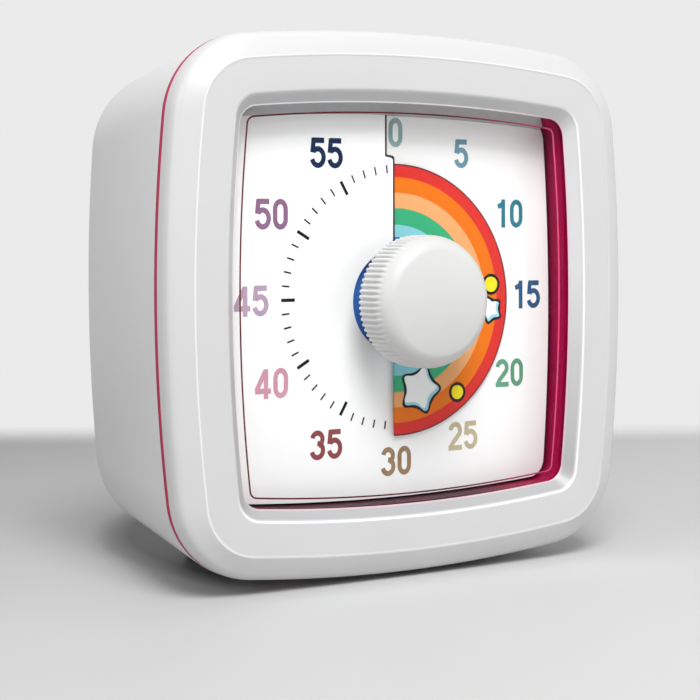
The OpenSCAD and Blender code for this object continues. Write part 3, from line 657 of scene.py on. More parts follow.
dial_columns = 640
columns = []
for j in range(dial_columns + 1):
    share = j / dial_columns
    rim_turn = dial_turn(dial_reach(0), flap_outer, share)
    rim_r = dial_reach(rim_turn * TURN)
    rings = FLAP + [(plain_r + (rim_r - plain_r) * part, flap_outer) for part in (0.4, 0.75)]
    places = [(radius, dial_turn(radius, distance, share)) for radius, distance in rings]
    column = []
    for radius, turn in places + [(rim_r, rim_turn)]:
        x, z = on_axis(radius, turn)
        column.append((x, film_y(turn), z + axis_z))
    columns.append(column)
dial = piece("dial", film(columns, FILM))
card = grained("dial_print", (0.96, 0.96, 0.955), 0.45,
               tone=(700, 3, (0.955, 0.955, 0.95), (0.97, 0.97, 0.965)),
               shine=(160, 2, 0.12, 0.36), relief=(5200, 1, 0.000004))
dress(dial, card)
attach(dial, "case")
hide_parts("dial_plate")

# A dark strip along the cut edge of the flap is painted shadow, the shade that the flap casts below it
INK = 0.03
flap_shadow_w = 0.3


def ink_y(turn):
    """Depth of the middle of the ink printed on the dial."""
    return film_y(turn) - (FILM + INK) / 2


columns = []
for k, (radius, distance) in enumerate(FLAP[:-1] + [(dial_reach(-0.07) - 0.1, flap_outer)]):
    turn = dial_turn(radius, distance, 1)
    x, z = on_axis(radius, turn)
    drop = flap_shadow_w if k > 2 and radius <= step_r else 0
    columns.append([(x - flap_shadow_w, ink_y(turn), z + axis_z - drop), (x, ink_y(turn), z + axis_z)])
flap_shadow_line = piece("flap_edge", film(columns, INK))
flap_shadow_ink = grained("flap_shadow_ink", (0.03, 0.024, 0.028), 0.6, shine=(900, 2, 0.2, 0.5), Specular_IOR_Level=0.2)
dress(flap_shadow_line, flap_shadow_ink)
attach(flap_shadow_line, "case")

# ---- Minute marks ----
# Black printed strokes round the disc, one a minute and a longer, thicker one every five. They lie a hair
# in front of the dial, on a stair of points that steps forward as it does, one for each minute.
tick_r = 20.98
print_rise = 0.43
axis_point = FACE + Vector((0, 0, axis_z * MM))


def maths(tree, operation, first, second=0.0):
    return add(tree, "ShaderNodeMath", {0: first, 1: second}, operation=operation)


def vector(tree, **parts):
    return add(tree, "ShaderNodeCombineXYZ", parts)


stair, into, drain = node_tree("dial_strokes", Count="Int", Start="Float", End="Float", Width="Float",
                               Ink="Float", Front="Float", Step="Float", Fifths="Bool", Material="Material")
rise = maths(stair, "DIVIDE", maths(stair, "MULTIPLY", into["Step"], -1.0), into["Count"])
points = add(stair, "GeometryNodeMeshLine", {"Count": into["Count"], "Offset": vector(stair, Y=rise),
                                             "Start Location": vector(stair, Y=into["Front"])})
index = add(stair, "GeometryNodeInputIndex", {})
turn = maths(stair, "DIVIDE", maths(stair, "MULTIPLY", index, TURN), into["Count"])
fifth = add(stair, "FunctionNodeCompare", {"A": maths(stair, "MODULO", index, 5.0), "B": 0.5},
            operation="LESS_THAN")
chosen = add(stair, "FunctionNodeCompare", {"A": fifth, "B": into["Fifths"]}, operation="EQUAL")
length = maths(stair, "SUBTRACT", into["End"], into["Start"])
middle = maths(stair, "MULTIPLY", maths(stair, "ADD", into["End"], into["Start"]), 0.5)
bar = add(stair, "GeometryNodeMeshCube", {"Size": vector(stair, X=into["Width"], Y=into["Ink"], Z=length)})
stood = add(stair, "GeometryNodeTransform", {"Geometry": bar, "Translation": vector(stair, Z=middle)})
copies = add(stair, "GeometryNodeInstanceOnPoints", {"Points": points, "Selection": chosen, "Instance": stood,
                                                     "Rotation": vector(stair, Y=turn)})
end_tree(stair, drain, copies, into["Material"])

black = grained("black_ink", (0.008, 0.008, 0.01), 0.6, shine=(900, 2, 0.2, 0.4), Specular_IOR_Level=0.15)
for name, long, width, fifths in (("minute_marks", 1.3, 0.25, False), ("five_minute_marks", 2.35, 0.5, True)):
    marks = piece(name, bmesh.new())
    grow(marks, stair, Count=60, Start=(tick_r - long) * MM, End=tick_r * MM, Width=width * MM,
         Ink=INK * MM, Front=ink_y(0) * MM, Step=STEP * MM, Fifths=fifths, Material=black)
    marks.data.transform(Matrix.Translation(axis_point + Vector((0, 0, print_rise * MM))))
    dress(marks, black, 40)
    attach(marks, "case")

# ---- Numbers ----
# The minutes in fives, printed in rounded bold figures, each pair in a colour of its own from the palette
# that runs once round the dial. Every figure is drawn as a few strokes of one width.
FIGURE_H = 4.65
STROKE = 0.82
number_r = 26.12


def bend(cx, cz, rx, rz, start, end, steps=18):
    """Points on an ellipse, by angles in degrees from the right, anticlockwise."""
    angles = [math.radians(start + (end - start) * i / steps) for i in range(steps + 1)]
    return [(cx + rx * math.cos(a), cz + rz * math.sin(a)) for a in angles]


top = (FIGURE_H - STROKE) / 2
FIGURES = {
    "0": [bend(0, 0.72, 0.98, top - 0.72, 0, 180) + bend(0, -0.72, 0.98, top - 0.72, 180, 360)],
    "1": [[(0.42, -FIGURE_H / 2), (0.42, FIGURE_H / 2)], [(0.42, 1.72), (-0.1, 1.35), (-0.78, 1.12)]],
    "2": [bend(0, top - 1.05, 1.03, 1.05, 172, -28) + [(0.35, -0.25), (-0.62, -1.2), (-1.02, -top)],
          [(-1.44, -top), (1.42, -top)]],
    "3": [bend(-0.05, top - 0.98, 0.98, 0.98, 168, -78), bend(-0.05, -top + 1.1, 1.08, 1.1, 90, -170)],
    "4": [[(0.52, -FIGURE_H / 2), (0.52, FIGURE_H / 2 - 0.1)], [(0.45, top + 0.1), (-1.2, -0.92)],
          [(-1.5, -1.12), (1.45, -1.12)]],
    "5": [[(-0.98, top), (1.22, top)], [(-0.74, top + 0.3), (-0.98, 0.05)],
          bend(0.02, -top + 1.27, 1.1, 1.27, 140, -165)],
}


def stroke_sections(points, closed):
    """Sections across a stroke of even width along a path, 1 mm thick."""
    sections = []
    last = len(points) - 1
    for k, (x, z) in enumerate(points):
        before = points[k - 1] if k or closed else points[0]
        after = points[(k + 1) % len(points)] if k < last or closed else points[last]
        dx = after[0] - before[0]
        dz = after[1] - before[1]
        size = math.hypot(dx, dz) or 1
        nx = -dz / size * STROKE / 2
        nz = dx / size * STROKE / 2
        sections.append([(x + nx, -0.5, z + nz), (x + nx, 0.5, z + nz), (x - nx, 0.5, z - nz),
                         (x - nx, -0.5, z - nz)])
    return sections


def figure(digit):
    """One figure as a thin closed solid in the XZ plane, in mm, made by joining its strokes."""
    joined = None
    for points in FIGURES[digit]:
        closed = digit == "0"
        if closed:
            points = [p for k, p in enumerate(points) if math.dist(p, points[k - 1]) > 1e-6]
        stroke = solid("stroke", stroke_sections(points, closed), closed=closed)
        if joined:
            combine(joined, stroke, "UNION")
        else:
            joined = stroke
    joined.data.transform((Matrix.Translation(FACE) @ Matrix.Scale(MM, 4)).inverted())
    return joined


def tint(bm, start, colour):
    """Gives the faces of a bmesh from number start on a colour of ink."""
    layer = bm.loops.layers.float_color["ink"]
    bm.faces.ensure_lookup_table()
    for face in bm.faces[start:]:
        for loop in face.loops:
            loop[layer] = (*colour, 1)


# Colour and lift of each number, from 0 to 55
NUMBERS = [((0.288, 0.432, 0.428), 0), ((0.158, 0.314, 0.40), 0.45), ((0.026, 0.197, 0.274), 0.4),
           ((0.027, 0.10, 0.224), 0), ((0.12, 0.338, 0.20), 0.1), ((0.534, 0.451, 0.30), -0.25),
           ((0.32, 0.205, 0.112), 0), ((0.27, 0.061, 0.066), 0), ((0.623, 0.308, 0.40), 0.45),
           ((0.449, 0.325, 0.437), 0), ((0.254, 0.127, 0.232), 0), ((0.002, 0.018, 0.07), -0.15)]
PITCH = 3.04
zero_shift = 0.5
figure_w = 0.93
shapes = {digit: figure(digit) for digit in FIGURES}
ink, place, link = surface("coloured_ink", (0.2, 0.2, 0.2), 0.55, Specular_IOR_Level=0.2)
tone = place.node("Attribute", {"attribute_name": "ink"}, {})
link(Base_Color=tone.flecked(0.35, place.noise(420)), Roughness=place.noise(900) * 0.2 + 0.35)
bm = bmesh.new()
bm.loops.layers.float_color.new("ink")
for hour, (colour, lift) in enumerate(NUMBERS):
    minutes = str(hour * 5)
    middle_x, middle_z = on_axis(number_r, hour / 12)
    middle_x += 0 if hour else zero_shift
    for k, digit in enumerate(minutes):
        start = len(bm.faces)
        bm.from_mesh(shapes[digit].data)
        tint(bm, start, colour)
        for vert in {vert for face in bm.faces[start:] for vert in face.verts}:
            x = middle_x + vert.co.x * figure_w + (k - (len(minutes) - 1) / 2) * PITCH
            z = middle_z + lift + vert.co.z + print_rise
            turn = math.atan2(x, z) / TURN
            if hour:
                turn %= 1
            vert.co = (x, ink_y(turn) + vert.co.y * INK, z + axis_z)
numbers = piece("numbers", bm)
for shape in shapes.values():
    bpy.data.objects.remove(shape)
dress(numbers, ink)
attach(numbers, "case")

# ---- Coloured disc ----
# Printed film disc with rainbow rings, cut along one radius and wound to the same pitch as the dial. It is
# fixed to its hub, which slides on the flat of the knob's shaft.
disc_r = span("rainbow_disc", X)[1]
disc_inner = 5.2
disc_t = 0.4
disc_start = -0.5 + 2 / 360
disc_edge = 0.7
disc_steps = 360


def disc_y(turn):
    """Depth of the disc's middle surface at a turn of -0.5 to 0.5 from twelve o'clock."""
    return film_mid - STEP * turn


columns = []
for k in range(disc_steps + 1):
    column = []
    for r in (disc_inner, disc_r * 0.35, disc_r * 0.55, disc_r * 0.75, disc_r):
        end = 0.5 + math.asin(disc_edge / r) / TURN
        turn = disc_start + (end - disc_start) * k / disc_steps
        x, z = on_axis(r, turn)
        column.append((x, disc_y(turn), z + axis_z))
    columns.append(column)
disc = piece("disc", film(columns, disc_t))

# Where each ring starts, as a share of the radius, and its colour; the last, a thin dark rim, is painted
# shade
RINGS = [(0.0, (0.042, 0.155, 0.50)), (0.462, (0.255, 0.635, 0.71)), (0.552, (0.038, 0.415, 0.19)),
         (0.672, (0.83, 0.39, 0.153)), (0.789, (0.81, 0.172, 0.002)), (0.902, (0.69, 0.028, 0.022)),
         (0.986, (0.16, 0.02, 0.03))]
printed_film, place, link = surface("disc_print", (0.8, 0.05, 0.05), 0.5, Specular_IOR_Level=0.25)
radius = place.mm_from(axis_point).vector("MULTIPLY", (1, 0, 1)).vector("LENGTH", output=1)
rings = place.node("ValToRGB", {"interpolation": "CONSTANT", "stops": RINGS}, {0: radius * (1 / disc_r)})
grain = place.noise(900, 3)
link(Base_Color=rings.flecked(0.12, grain), Roughness=grain * 0.15 + 0.33,
     Normal=place.noise(5200, 1).bump(0.000003))
dress(disc, printed_film)
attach(disc, "disc")
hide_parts("rainbow_disc")


# Plain stars and dots printed on the rings: a dark outline, a pale blue shade and the filling on top
def motif(radius, waist, count, spin, fat):
    """Points round a star with alternate radii, or a dot where they are the same, pushed out by fat."""
    points = []
    for k in range(count):
        a = spin + TURN * k / count
        reach = (waist if k % 2 else radius) + fat
        points.append((reach * math.sin(a), reach * math.cos(a)))
    return points


def softened(points):
    """The same outline with every corner cut twice."""
    for _ in range(2):
        cut = []
        for k, (x, z) in enumerate(points):
            nx, nz = points[(k + 1) % len(points)]
            cut += [(x * a + nx * (1 - a), z * a + nz * (1 - a)) for a in (0.78, 0.22)]
        points = cut
    return points


DARK = (0.010, 0.008, 0.010)
SHADE = (0.36, 0.66, 0.78)
WHITE = (0.95, 0.96, 0.96)
YELLOW = (0.92, 0.76, 0.02)
STAR = 10
DOT = 24
# Corners, radius and waist, distance and angle from the axis, spin, shade and filling
MOTIFS = [(STAR, 4.1, 2.4, 15.0, 164, 0.3, SHADE, WHITE), (DOT, 1.15, 1.15, 19.0, 143, 0, YELLOW, YELLOW),
          (STAR, 2.2, 1.3, 18.4, 96, 0.9, SHADE, WHITE), (DOT, 1.25, 1.25, 18.5, 83, 0, YELLOW, YELLOW),
          (STAR, 2.8, 1.6, 16.2, 224, 0.5, SHADE, WHITE), (DOT, 1.2, 1.2, 18.2, 300, 0, YELLOW, YELLOW),
          (STAR, 2.4, 1.4, 15.8, 322, 0.2, SHADE, WHITE)]
bm = bmesh.new()
bm.loops.layers.float_color.new("ink")
for count, size, waist, reach, angle, spin, shade, fill in MOTIFS:
    cx, cz = on_axis(reach, angle / 360)
    layers = ((INK, 0.5, 0, DARK), (INK * 1.6, 0, 0, shade), (INK * 2.2, -0.28, 0.24, fill))
    for height, fat, shift, colour in layers:
        start = len(bm.faces)
        points = [(x + cx - shift, z + cz + shift) for x, z in softened(motif(size, waist, count, spin, fat))]
        loft(bm, [[(x, disc_y(math.atan2(x, z) / TURN) - disc_t / 2 - lift, z + axis_z) for x, z in points]
                  for lift in (height, -INK)])
        tint(bm, start, colour)
motifs = piece("motifs", bm)
dress(motifs, ink)
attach(motifs, "disc")

# ---- Window ----
# Clear moulded pane held between the tray and the bezel, with polished edges and a hole that the knob's
# shaft passes through. A fine coloured line is printed round its back, just inside the wall; its pale
# pink along the right side is painted highlight.
pane_rim = [(at(WINDOW, lens_front, -1.05), 0.1), (at(WINDOW, lens_back, -1.05), 0.1)]
# Two rings far inside only lead the rounding of the rim, and are left off
guides = [(at(WINDOW, lens_back, 20), 0), (at(WINDOW, lens_front, 20), 0)]
pane = solid("window", skin(rounded(pane_rim + guides, 2)[:-2]))
shaft_hole = [(2.75, lens_front - 0.1), (2.6, lens_front + 0.15), (2.6, lens_back - 0.15),
              (2.75, lens_back + 0.1)]
carve(pane, rod((0, axis_z), shaft_hole, 48))


def mix_shaders(tree, factor, first, second, drain):
    """Feeds an output with a mix of two shaders."""
    mix = tree.nodes.new("ShaderNodeMixShader")
    for socket, source in zip(mix.inputs, (factor, first, second)):
        tree.links.new(source, socket)
    tree.links.new(mix.outputs[0], drain)


clear = surface("clear_window", (0.9, 0.94, 0.96), 0.04, Metallic=1.0)[0]
tree = clear.node_tree
through = tree.nodes.new("ShaderNodeBsdfTransparent")
through.inputs[0].default_value = (0.995, 0.997, 0.997, 1)
facing = tree.nodes.new("ShaderNodeFresnel")
facing.inputs["IOR"].default_value = 1.08
mix_shaders(tree, facing.outputs[0], through.outputs[0], tree.nodes["Principled BSDF"].outputs[0],
            tree.nodes["Material Output"].inputs["Surface"])
dress(pane, clear)
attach(pane, "case")
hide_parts("lens")

LINE = (29.84, 1.71, 1.2)
line_w = 0.24
line_t = 0.05
line_shift = 0.3
line_rings = skin([at(LINE, lens_back, -line_w / 2), at(LINE, lens_back, line_w / 2),
                   at(LINE, lens_back + line_t, line_w / 2), at(LINE, lens_back + line_t, -line_w / 2)])
line = solid("window_line", line_rings, closed=True)
line.data.transform(Matrix.Translation((line_shift * MM, 0, 0)))
line_print_and_highlight, place, link = surface("line_print_and_highlight", (0.3, 0.05, 0.07), 0.5, Specular_IOR_Level=0.15)
# The line's ink is dark red; the pale pink along its right side is painted highlight
across = place.part(X).ramp(8 * MM, 30 * MM)
link(Base_Color=across.blend((0.12, 0.012, 0.018), (0.80, 0.10, 0.25)),
     Roughness=place.noise(900) * 0.2 + 0.3)
dress(line, line_print_and_highlight)
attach(line, "case")

# A wedge of grey foam in two lengths along the roof of the wall is painted shade: a grey piece that
# stands in for the shade at the top of the window, over the dial. They leave a slit over the flap of the
# dial, and their outer ends are cut at a slant
roof_end = 29.6
slit_half = 0.12
slant_start = 20
slant = 0.38
wedge_steps = 60
roof = sorted((x, z) for x, z in outline(at(DIAL, 0, -0.55)) if z > 0)


def roof_z(x):
    """Height of the wall's roof at a place across it."""
    for (x0, z0), (x1, z1) in zip(roof, roof[1:]):
        if x0 <= x <= x1:
            return z0 + (z1 - z0) * (x - x0) / (x1 - x0)
    return roof[0][1]


lengths = []
for start, end in ((-roof_end, -flap_outer - slit_half), (-flap_outer + slit_half, roof_end)):
    rows = []
    for k in range(wedge_steps + 1):
        x = start + (end - start) * k / wedge_steps
        turn = math.atan2(x, roof_z(x)) / TURN + (1 if x < -flap_outer else 0)
        back = film_y(turn) - FILM / 2 - 0.1
        taper = min(1, (roof_end - abs(x)) / 1.2)
        near_x = x - math.copysign(max(abs(x) - slant_start, 0) * slant, x)
        near_z = roof_z(near_x)
        rows.append([(near_x, lens_back + 0.05, near_z), (near_x, lens_back + 0.05, near_z + 0.7),
                     (x, back, roof_z(x) + 0.05), (x, back, roof_z(x) - 0.05 - 1.6 * taper)])
    lengths.append(rows)
shade_wedge = solid("foam_wedge", *lengths)
# Painted shade: the grey of the foam stands in for the shade at the top of the window
shade_foam = grained("painted_shade_grey", (0.42, 0.42, 0.42), 0.8, relief=(5000, 2, 0.00001),
               tone=(900, 3, (0.39, 0.39, 0.395), (0.45, 0.45, 0.455)))
dress(shade_wedge, shade_foam)
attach(shade_wedge, "case")

# ---- Bezel ----
# Light grey moulded frame that closes the face: a short flank, a sloping band, a crisp ridge, a flat band
# and the drafted wall of the opening. Fine spark-eroded satin finish.
RIDGE = (38.4, 2.92, 8.57)
MOUTH = (33.05, 2.11, 3.9)
case_plastic, place, link = surface("case_plastic", (0.56, 0.56, 0.565), 0.34)
haze = place.noise(45, 3)
satin = haze.ramp(0.3, 0.7).blend((0.55, 0.55, 0.555), (0.57, 0.57, 0.575))
from_face = place.mm_from(FACE)
across, depth, up = [from_face.part(k) for k in range(3)]
# Painted shade: the wall of the opening is darkened, most of all low down and least at the right, with a
# painted highlight along its foot, white at the top and left and pinkish at the right and below
wide = across.maths("ABSOLUTE")
tall = up.maths("ABSOLUTE")
inside = (1 - wide.maths("MAXIMUM", tall).ramp(34.5, 35)) * (1 - (wide + tall).ramp(62, 63))
deep = depth.between(0.3, 0.6, 4, 4.2) * inside
lower_shade = 1 - up.ramp(-29, 5)
upper_shade = across.ramp(15, 32).blend((0.50, 0.50, 0.505), (0.60, 0.60, 0.605))
upper_highlight = across.ramp(15, 31).blend((0.95, 0.91, 0.92), (0.72, 0.50, 0.56))
highlight_bead = depth.ramp(lens_front - 0.32, lens_front - 0.26)
wall_shade_and_highlight = highlight_bead.blend(lower_shade.blend(upper_shade, (0.36, 0.36, 0.365)),
                       lower_shade.blend(upper_highlight, (0.55, 0.40, 0.44)))
# Painted highlights: the crest of the ridge is paler at the top and left, and the lip of the opening at
# the right and below
top_left = up.maths("MAXIMUM", 0 - across).ramp(26, 34) * (1 - across.ramp(30, 36))
crest_highlight = (1 - depth.ramp(0.02, 0.06)) * top_left
low_right = across.maths("MAXIMUM", 0 - up).ramp(27, 31)
lip_highlight = depth.between(0.125, 0.16, 0.24, 0.34) * inside * low_right
band_with_highlights = crest_highlight.maths("MAXIMUM", lip_highlight).blend(satin, (0.80, 0.80, 0.80))
link(Base_Color=deep.blend(band_with_highlights, wall_shade_and_highlight), Roughness=haze * 0.14 + 0.28,
     Normal=place.noise(4200, 2).bump(0.000004))

wall = 2.2
band_w = SEAM[0] - RIDGE[0]
front = [(at(SEAM, seam_front, wall), 0.1), (at(SEAM, wall + 0.8, wall), 0.3),
         (at(SEAM, wall + 0.1, wall + 0.7), 0.3), (at(WINDOW, lens_front, -2.8), 0.1),
         (at(WINDOW, lens_front), 0.12), (at(MOUTH, 0.12), 0.3), (at(RIDGE, 0.1, 0.35), 0.12),
         (at(RIDGE, 0, 0.02), 0.22), (at(SEAM, 0.72, band_w * 0.55), 0.5), (at(SEAM, 1.55, 0.42), 0.9),
         (at(SEAM, 3.0, 0.03), 0.5), (at(SEAM, seam_front), 0.16)]
bezel = solid("bezel", skin(rounded(front, 5)), closed=True)
bosses = corners(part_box("bezel_screws")[1].x / MM - bezel_head_r)
join(bezel, *rods(bosses, [(2.7, 1.3), (2.55, seam_front)]))
thread_r = bezel_shank + thread_gap
carve(bezel, *rods(bosses, [(thread_r, 1.4), (thread_r, seam_front + 0.1)], 20))
dress(bezel, case_plastic, 35)
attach(bezel, "case")
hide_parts("front_bezel")

# ---- Knob ----
# White moulded cap pressed on the shaft. Fine ribs run round its skirt and die out towards the domed face,
# and a rim at the back keeps dust out of the hole in the dial.
knob_front, knob_back = span("knob", Y)
knob_r = (span("knob", X)[1] - span("knob", X)[0]) / 2
rib_depth = 0.32
rib_count = 72
edge_r = 2.9
dome = 0.8
cap_r = knob_r - rib_depth
face_r = cap_r - edge_r
shoulder = knob_front + dome
edge_end = shoulder + edge_r
sphere_r = (face_r ** 2 + dome ** 2) / (2 * dome)
tilt = math.asin(face_r / sphere_r)
face = [(sphere_r * math.sin(tilt * i / 8), knob_front + sphere_r * (1 - math.cos(tilt * i / 8)))
        for i in range(1, 9)]
corner = [(face_r + edge_r * math.sin(a), edge_end - edge_r * math.cos(a))
          for a in [tilt + (math.pi / 2 - tilt) * i / 14 for i in range(1, 15)]]
skirt = [(cap_r, edge_end + (knob_back - 0.25 - edge_end) * i / 8) for i in range(1, 9)]
back = [(cap_r - 0.08, knob_back - 0.07), (cap_r - 0.25, knob_back), (cap_r - 1.4, knob_back),
        (cap_r - 1.6, knob_back - 0.2), (cap_r - 1.6, edge_end + 0.2), (3.6, edge_end + 0.2),
        (3.6, knob_back - 0.2), (3.4, knob_back), (2.2, knob_back), (2.0, knob_back - 0.2),
        (2.0, knob_back - 4)]
knob = solid("knob_cap", rod((0, axis_z), [(0.02, knob_front)] + face + corner + skirt + back, rib_count * 8))

ribs, into, drain = node_tree("knob_ribs", Ribs="Int", Depth="Float", Skirt="Float", Full="Float",
                              Bare="Float", Centre="Vector", Material="Material")
spot = add(ribs, "GeometryNodeInputPosition", {})
arm = add(ribs, "ShaderNodeVectorMath", {0: spot, 1: into["Centre"]}, operation="SUBTRACT")
flat_arm = add(ribs, "ShaderNodeVectorMath", {0: arm, 1: (1, 0, 1)}, operation="MULTIPLY")
distance = add(ribs, "ShaderNodeVectorMath", {0: flat_arm}, "Value", operation="LENGTH")
outwards = add(ribs, "ShaderNodeVectorMath", {0: flat_arm}, operation="NORMALIZE")
arm_x, arm_y, arm_z = [add(ribs, "ShaderNodeSeparateXYZ", {0: arm}, k) for k in range(3)]
wave = maths(ribs, "COSINE", maths(ribs, "MULTIPLY", maths(ribs, "ARCTAN2", arm_z, arm_x), into["Ribs"]))
raised = add(ribs, "ShaderNodeMapRange", {"Value": wave, "From Min": -0.75, "From Max": 0.45,
                                          "To Max": into["Depth"]}, interpolation_type="SMOOTHSTEP")
faded = add(ribs, "ShaderNodeMapRange", {"Value": arm_y, "From Min": into["Bare"], "From Max": into["Full"]},
            interpolation_type="SMOOTHSTEP")
push = add(ribs, "ShaderNodeVectorMath", {0: outwards, "Scale": maths(ribs, "MULTIPLY", raised, faded)},
           operation="SCALE")
on_skirt = maths(ribs, "GREATER_THAN", distance, into["Skirt"])
moved = add(ribs, "GeometryNodeSetPosition", {"Geometry": into["Geometry"], "Selection": on_skirt,
                                              "Offset": push})
end_tree(ribs, drain, moved, into["Material"])
knob_white = grained("knob_white", (0.57, 0.57, 0.565), 0.42,
                     tone=(120, 3, (0.56, 0.56, 0.555), (0.58, 0.58, 0.575)),
                     shine=(80, 2, 0.12, 0.36), relief=(4200, 2, 0.000003))
grow(knob, ribs, Ribs=rib_count, Depth=(rib_depth - 0.005) * MM, Skirt=(cap_r - 0.3) * MM,
     Full=(edge_end + 0.6) * MM, Bare=(edge_end - 1.3) * MM, Centre=axis_point, Material=knob_white)
dress(knob, knob_white, 50)
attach(knob, "knob")
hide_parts("knob")

# ---- Rear case ----
# Light grey moulded shell that slides over the works, tapers to the back and ends in a large rounded edge.
# Inside it has the battery bay, the board's posts, four screw wells and the feet's bosses.
back_end = span("rear_shell", Y)[1]
back_inner = back_end - wall
BACK = (39.1, 2.45, 13.6)
back_edge = 9.5


def back_ring(angle, inset):
    """A ring on the rounded rear edge, 0 at its start and 90 at the flat back."""
    sine = math.sin(math.radians(angle))
    cosine = math.cos(math.radians(angle))
    shape = at(BACK, 0, back_edge * (1 - cosine))[:3]
    return at(shape, back_end - back_edge + (back_edge - inset) * sine, inset * cosine)


angles = [90 * i / 14 for i in range(15)]
outer = [at(SEAM, seam_back, 0.16), at(SEAM, seam_back + 0.05, 0.05), at(SEAM, seam_back + 0.17)]
outer += [back_ring(a, 0) for a in angles]
inner = [back_ring(a, wall) for a in angles[::-1]] + [at(SEAM, seam_back, wall)]
shell = solid("rear_case", skin(inner + outer))

# The bay of one AA cell, and its door on two pins
cell_r = 7.25
cell_z = -13
cell_y = back_inner - cell_r - 0.15
bay_front = cell_y - cell_r - 0.3
bay_half = 27.2
bay_top = cell_z + cell_r + 2.35
bay_low = cell_z - cell_r - 0.85
bay_wall = 1.2
door_t = 2
door_half = bay_half + 1
door_low = bay_low - 0.4
door_gap = 0.2
hinge_r = 1.4
hinge_y = back_end - hinge_r
hinge_z = bay_top - 0.35 - hinge_r
hinge = (hinge_y, hinge_z)
pin_r = 0.8
grip_half = 7

# Posts, wells, feet, and the middles of the switch and the buzzer
board_back = span("circuit_board", Y)[1]
board_posts = [(x, z) for x in (-19.5, 19.5) for z in (7.5, 25)]
post_hole = board_shank + thread_gap
shank_hole = case_shank + 0.17
well_r = case_head_r + 0.3
well_end = case_boss_end + 1.6
ground_z = span("rubber_feet", Z)[0]
foot_r = 3.4
foot_x = span("rubber_feet", X)[1] - foot_r
foot_ends = span("rubber_feet", Y)
foot_places = [(x, y) for x in (-foot_x, foot_x) for y in (foot_ends[0] + foot_r, foot_ends[1] - foot_r)]
switch_x = 11
switch_z = 16
buzzer_x = -9.5


def pad(across, up, depths):
    """A box round the middle of the switch, from its half sizes and its two depths."""
    return block((switch_x - across, switch_x + across), depths, (switch_z - up, switch_z + up))


bay_box = block((-bay_half - bay_wall, bay_half + bay_wall), (bay_front - bay_wall, back_inner + 0.3),
                (bay_low - bay_wall, bay_top + bay_wall))
post = [(2.3, board_back), (2.5, back_inner + 0.3)]
pillar = [(3.6, case_boss_end), (3.6, back_inner + 0.3)]
join(shell, bay_box, *rods(board_posts, post, 24), *rods(corners(case_screw), pillar, 40))
hinge_ears = [block(sorted((side * (door_half + door_gap), side * (door_half + 2.4))),
                    (hinge_y - 2, back_inner + 0.2), (hinge_z - 2, hinge_z + 2)) for side in (-1, 1)]
join(shell, *hinge_ears, *rods(foot_places, [(4, ground_z + 1.1), (4, ground_z + 7)], 40, Z))

bay = block((-bay_half, bay_half), (bay_front, back_end + 1), (bay_low, bay_top))
bore = [(post_hole, board_back - 1), (post_hole, back_inner)]
well = [(shank_hole, case_boss_end - 1), (shank_hole, well_end), (well_r, well_end),
        (well_r, back_end - 0.25), (well_r + 0.25, back_end + 0.01), (well_r + 0.25, back_end + 1)]
foot_seat = [(foot_r + 0.05, ground_z - 1), (foot_r + 0.05, ground_z + 1.6)]
switch_frame = pad(4.85, 2.75, (back_end - 1, back_end + 1))
carve(shell, bay, switch_frame, *rods(board_posts, bore, 20), *rods(corners(case_screw), well, 40),
      *rods(foot_places, foot_seat, 40, Z))
door_span = (-door_half - door_gap, door_half + door_gap)
door_seat = block(door_span, (back_end - door_t - 0.1, back_end + 1), (door_low - door_gap, bay_top))
carve(shell, door_seat, pad(3.55, 1.15, (back_inner - 1, back_end)))
hinge_seat = block(door_span, (hinge_y - hinge_r - 0.3, back_end + 1), (hinge_z - hinge_r - 0.3, bay_top))
carve(shell, hinge_seat)
pin_hole = [(pin_r + 0.05, -door_half - 1.2), (pin_r + 0.05, door_half + 1.2)]
finger_dent = [(0.5, -grip_half + 0.6), (6.5, -grip_half - 0.01),
               (6.5, grip_half + 0.01), (0.5, grip_half - 0.6)]
contact_slots = [block((x - 0.1, x + 0.6), (cell_y - 1.6, cell_y + 1.6), (bay_top - 1, bay_top + 4.1))
                 for x in (-bay_half, bay_half - 0.5)]
carve(shell, rod(hinge, pin_hole, 32, X), rod((back_end + 5.5, door_low - 0.6), finger_dent, 96, X),
      *contact_slots)

# The sound holes: one in the middle and six round it, punched by a tree
holes, into, drain = node_tree("sound_holes", Holes="Int", Ring="Float", Radius="Float", Depth="Float",
                               Middle="Vector", Material="Material")
ring = add(holes, "GeometryNodeMeshCircle", {"Vertices": into["Holes"], "Radius": into["Ring"]})
centre = add(holes, "GeometryNodeMeshLine", {"Count": 1})
both = add(holes, "GeometryNodeJoinGeometry", {0: ring})
holes.links.new(centre, both.node.inputs[0])
drill = add(holes, "GeometryNodeMeshCylinder", {"Vertices": 24, "Radius": into["Radius"],
                                                "Depth": into["Depth"]})
copies = add(holes, "GeometryNodeInstanceOnPoints", {"Points": both, "Instance": drill})
stood = add(holes, "GeometryNodeTransform", {"Geometry": copies, "Rotation": (math.pi / 2, 0, 0),
                                             "Translation": into["Middle"]})
end_tree(holes, drain, stood, into["Material"])
drills = piece("drills", bmesh.new())
grow(drills, holes, Holes=6, Ring=3 * MM, Radius=0.8 * MM, Depth=8 * MM, Material=case_plastic,
     Middle=FACE + Vector((buzzer_x, back_end, switch_z)) * MM)
combine(shell, drills, "DIFFERENCE")
dress(shell, case_plastic, 35)
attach(shell, "case")
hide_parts("rear_shell")

# ---- Volume slider ----
# Black moulded thumb piece of the switch, flush with the back, with grooves for a fingernail.
stem_start = span("volume_slider", Y)[0]
groove_pitch = 0.8
slider = solid("slider_cap", pad(1.2, 0.8, (stem_start, back_end - 0.5)))
join(slider, pad(2.5, 2.4, (back_end - 0.8, back_end)))
carve(slider, *[block((x - 0.18, x + 0.18), (back_end - 0.3, back_end + 1), (switch_z - 1.9, switch_z + 1.9))
                for x in [switch_x + groove_pitch * k for k in (-2, -1, 0, 1, 2)]])
dress(slider, black_plastic)
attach(slider, "volume_slider")
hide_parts("volume_slider")

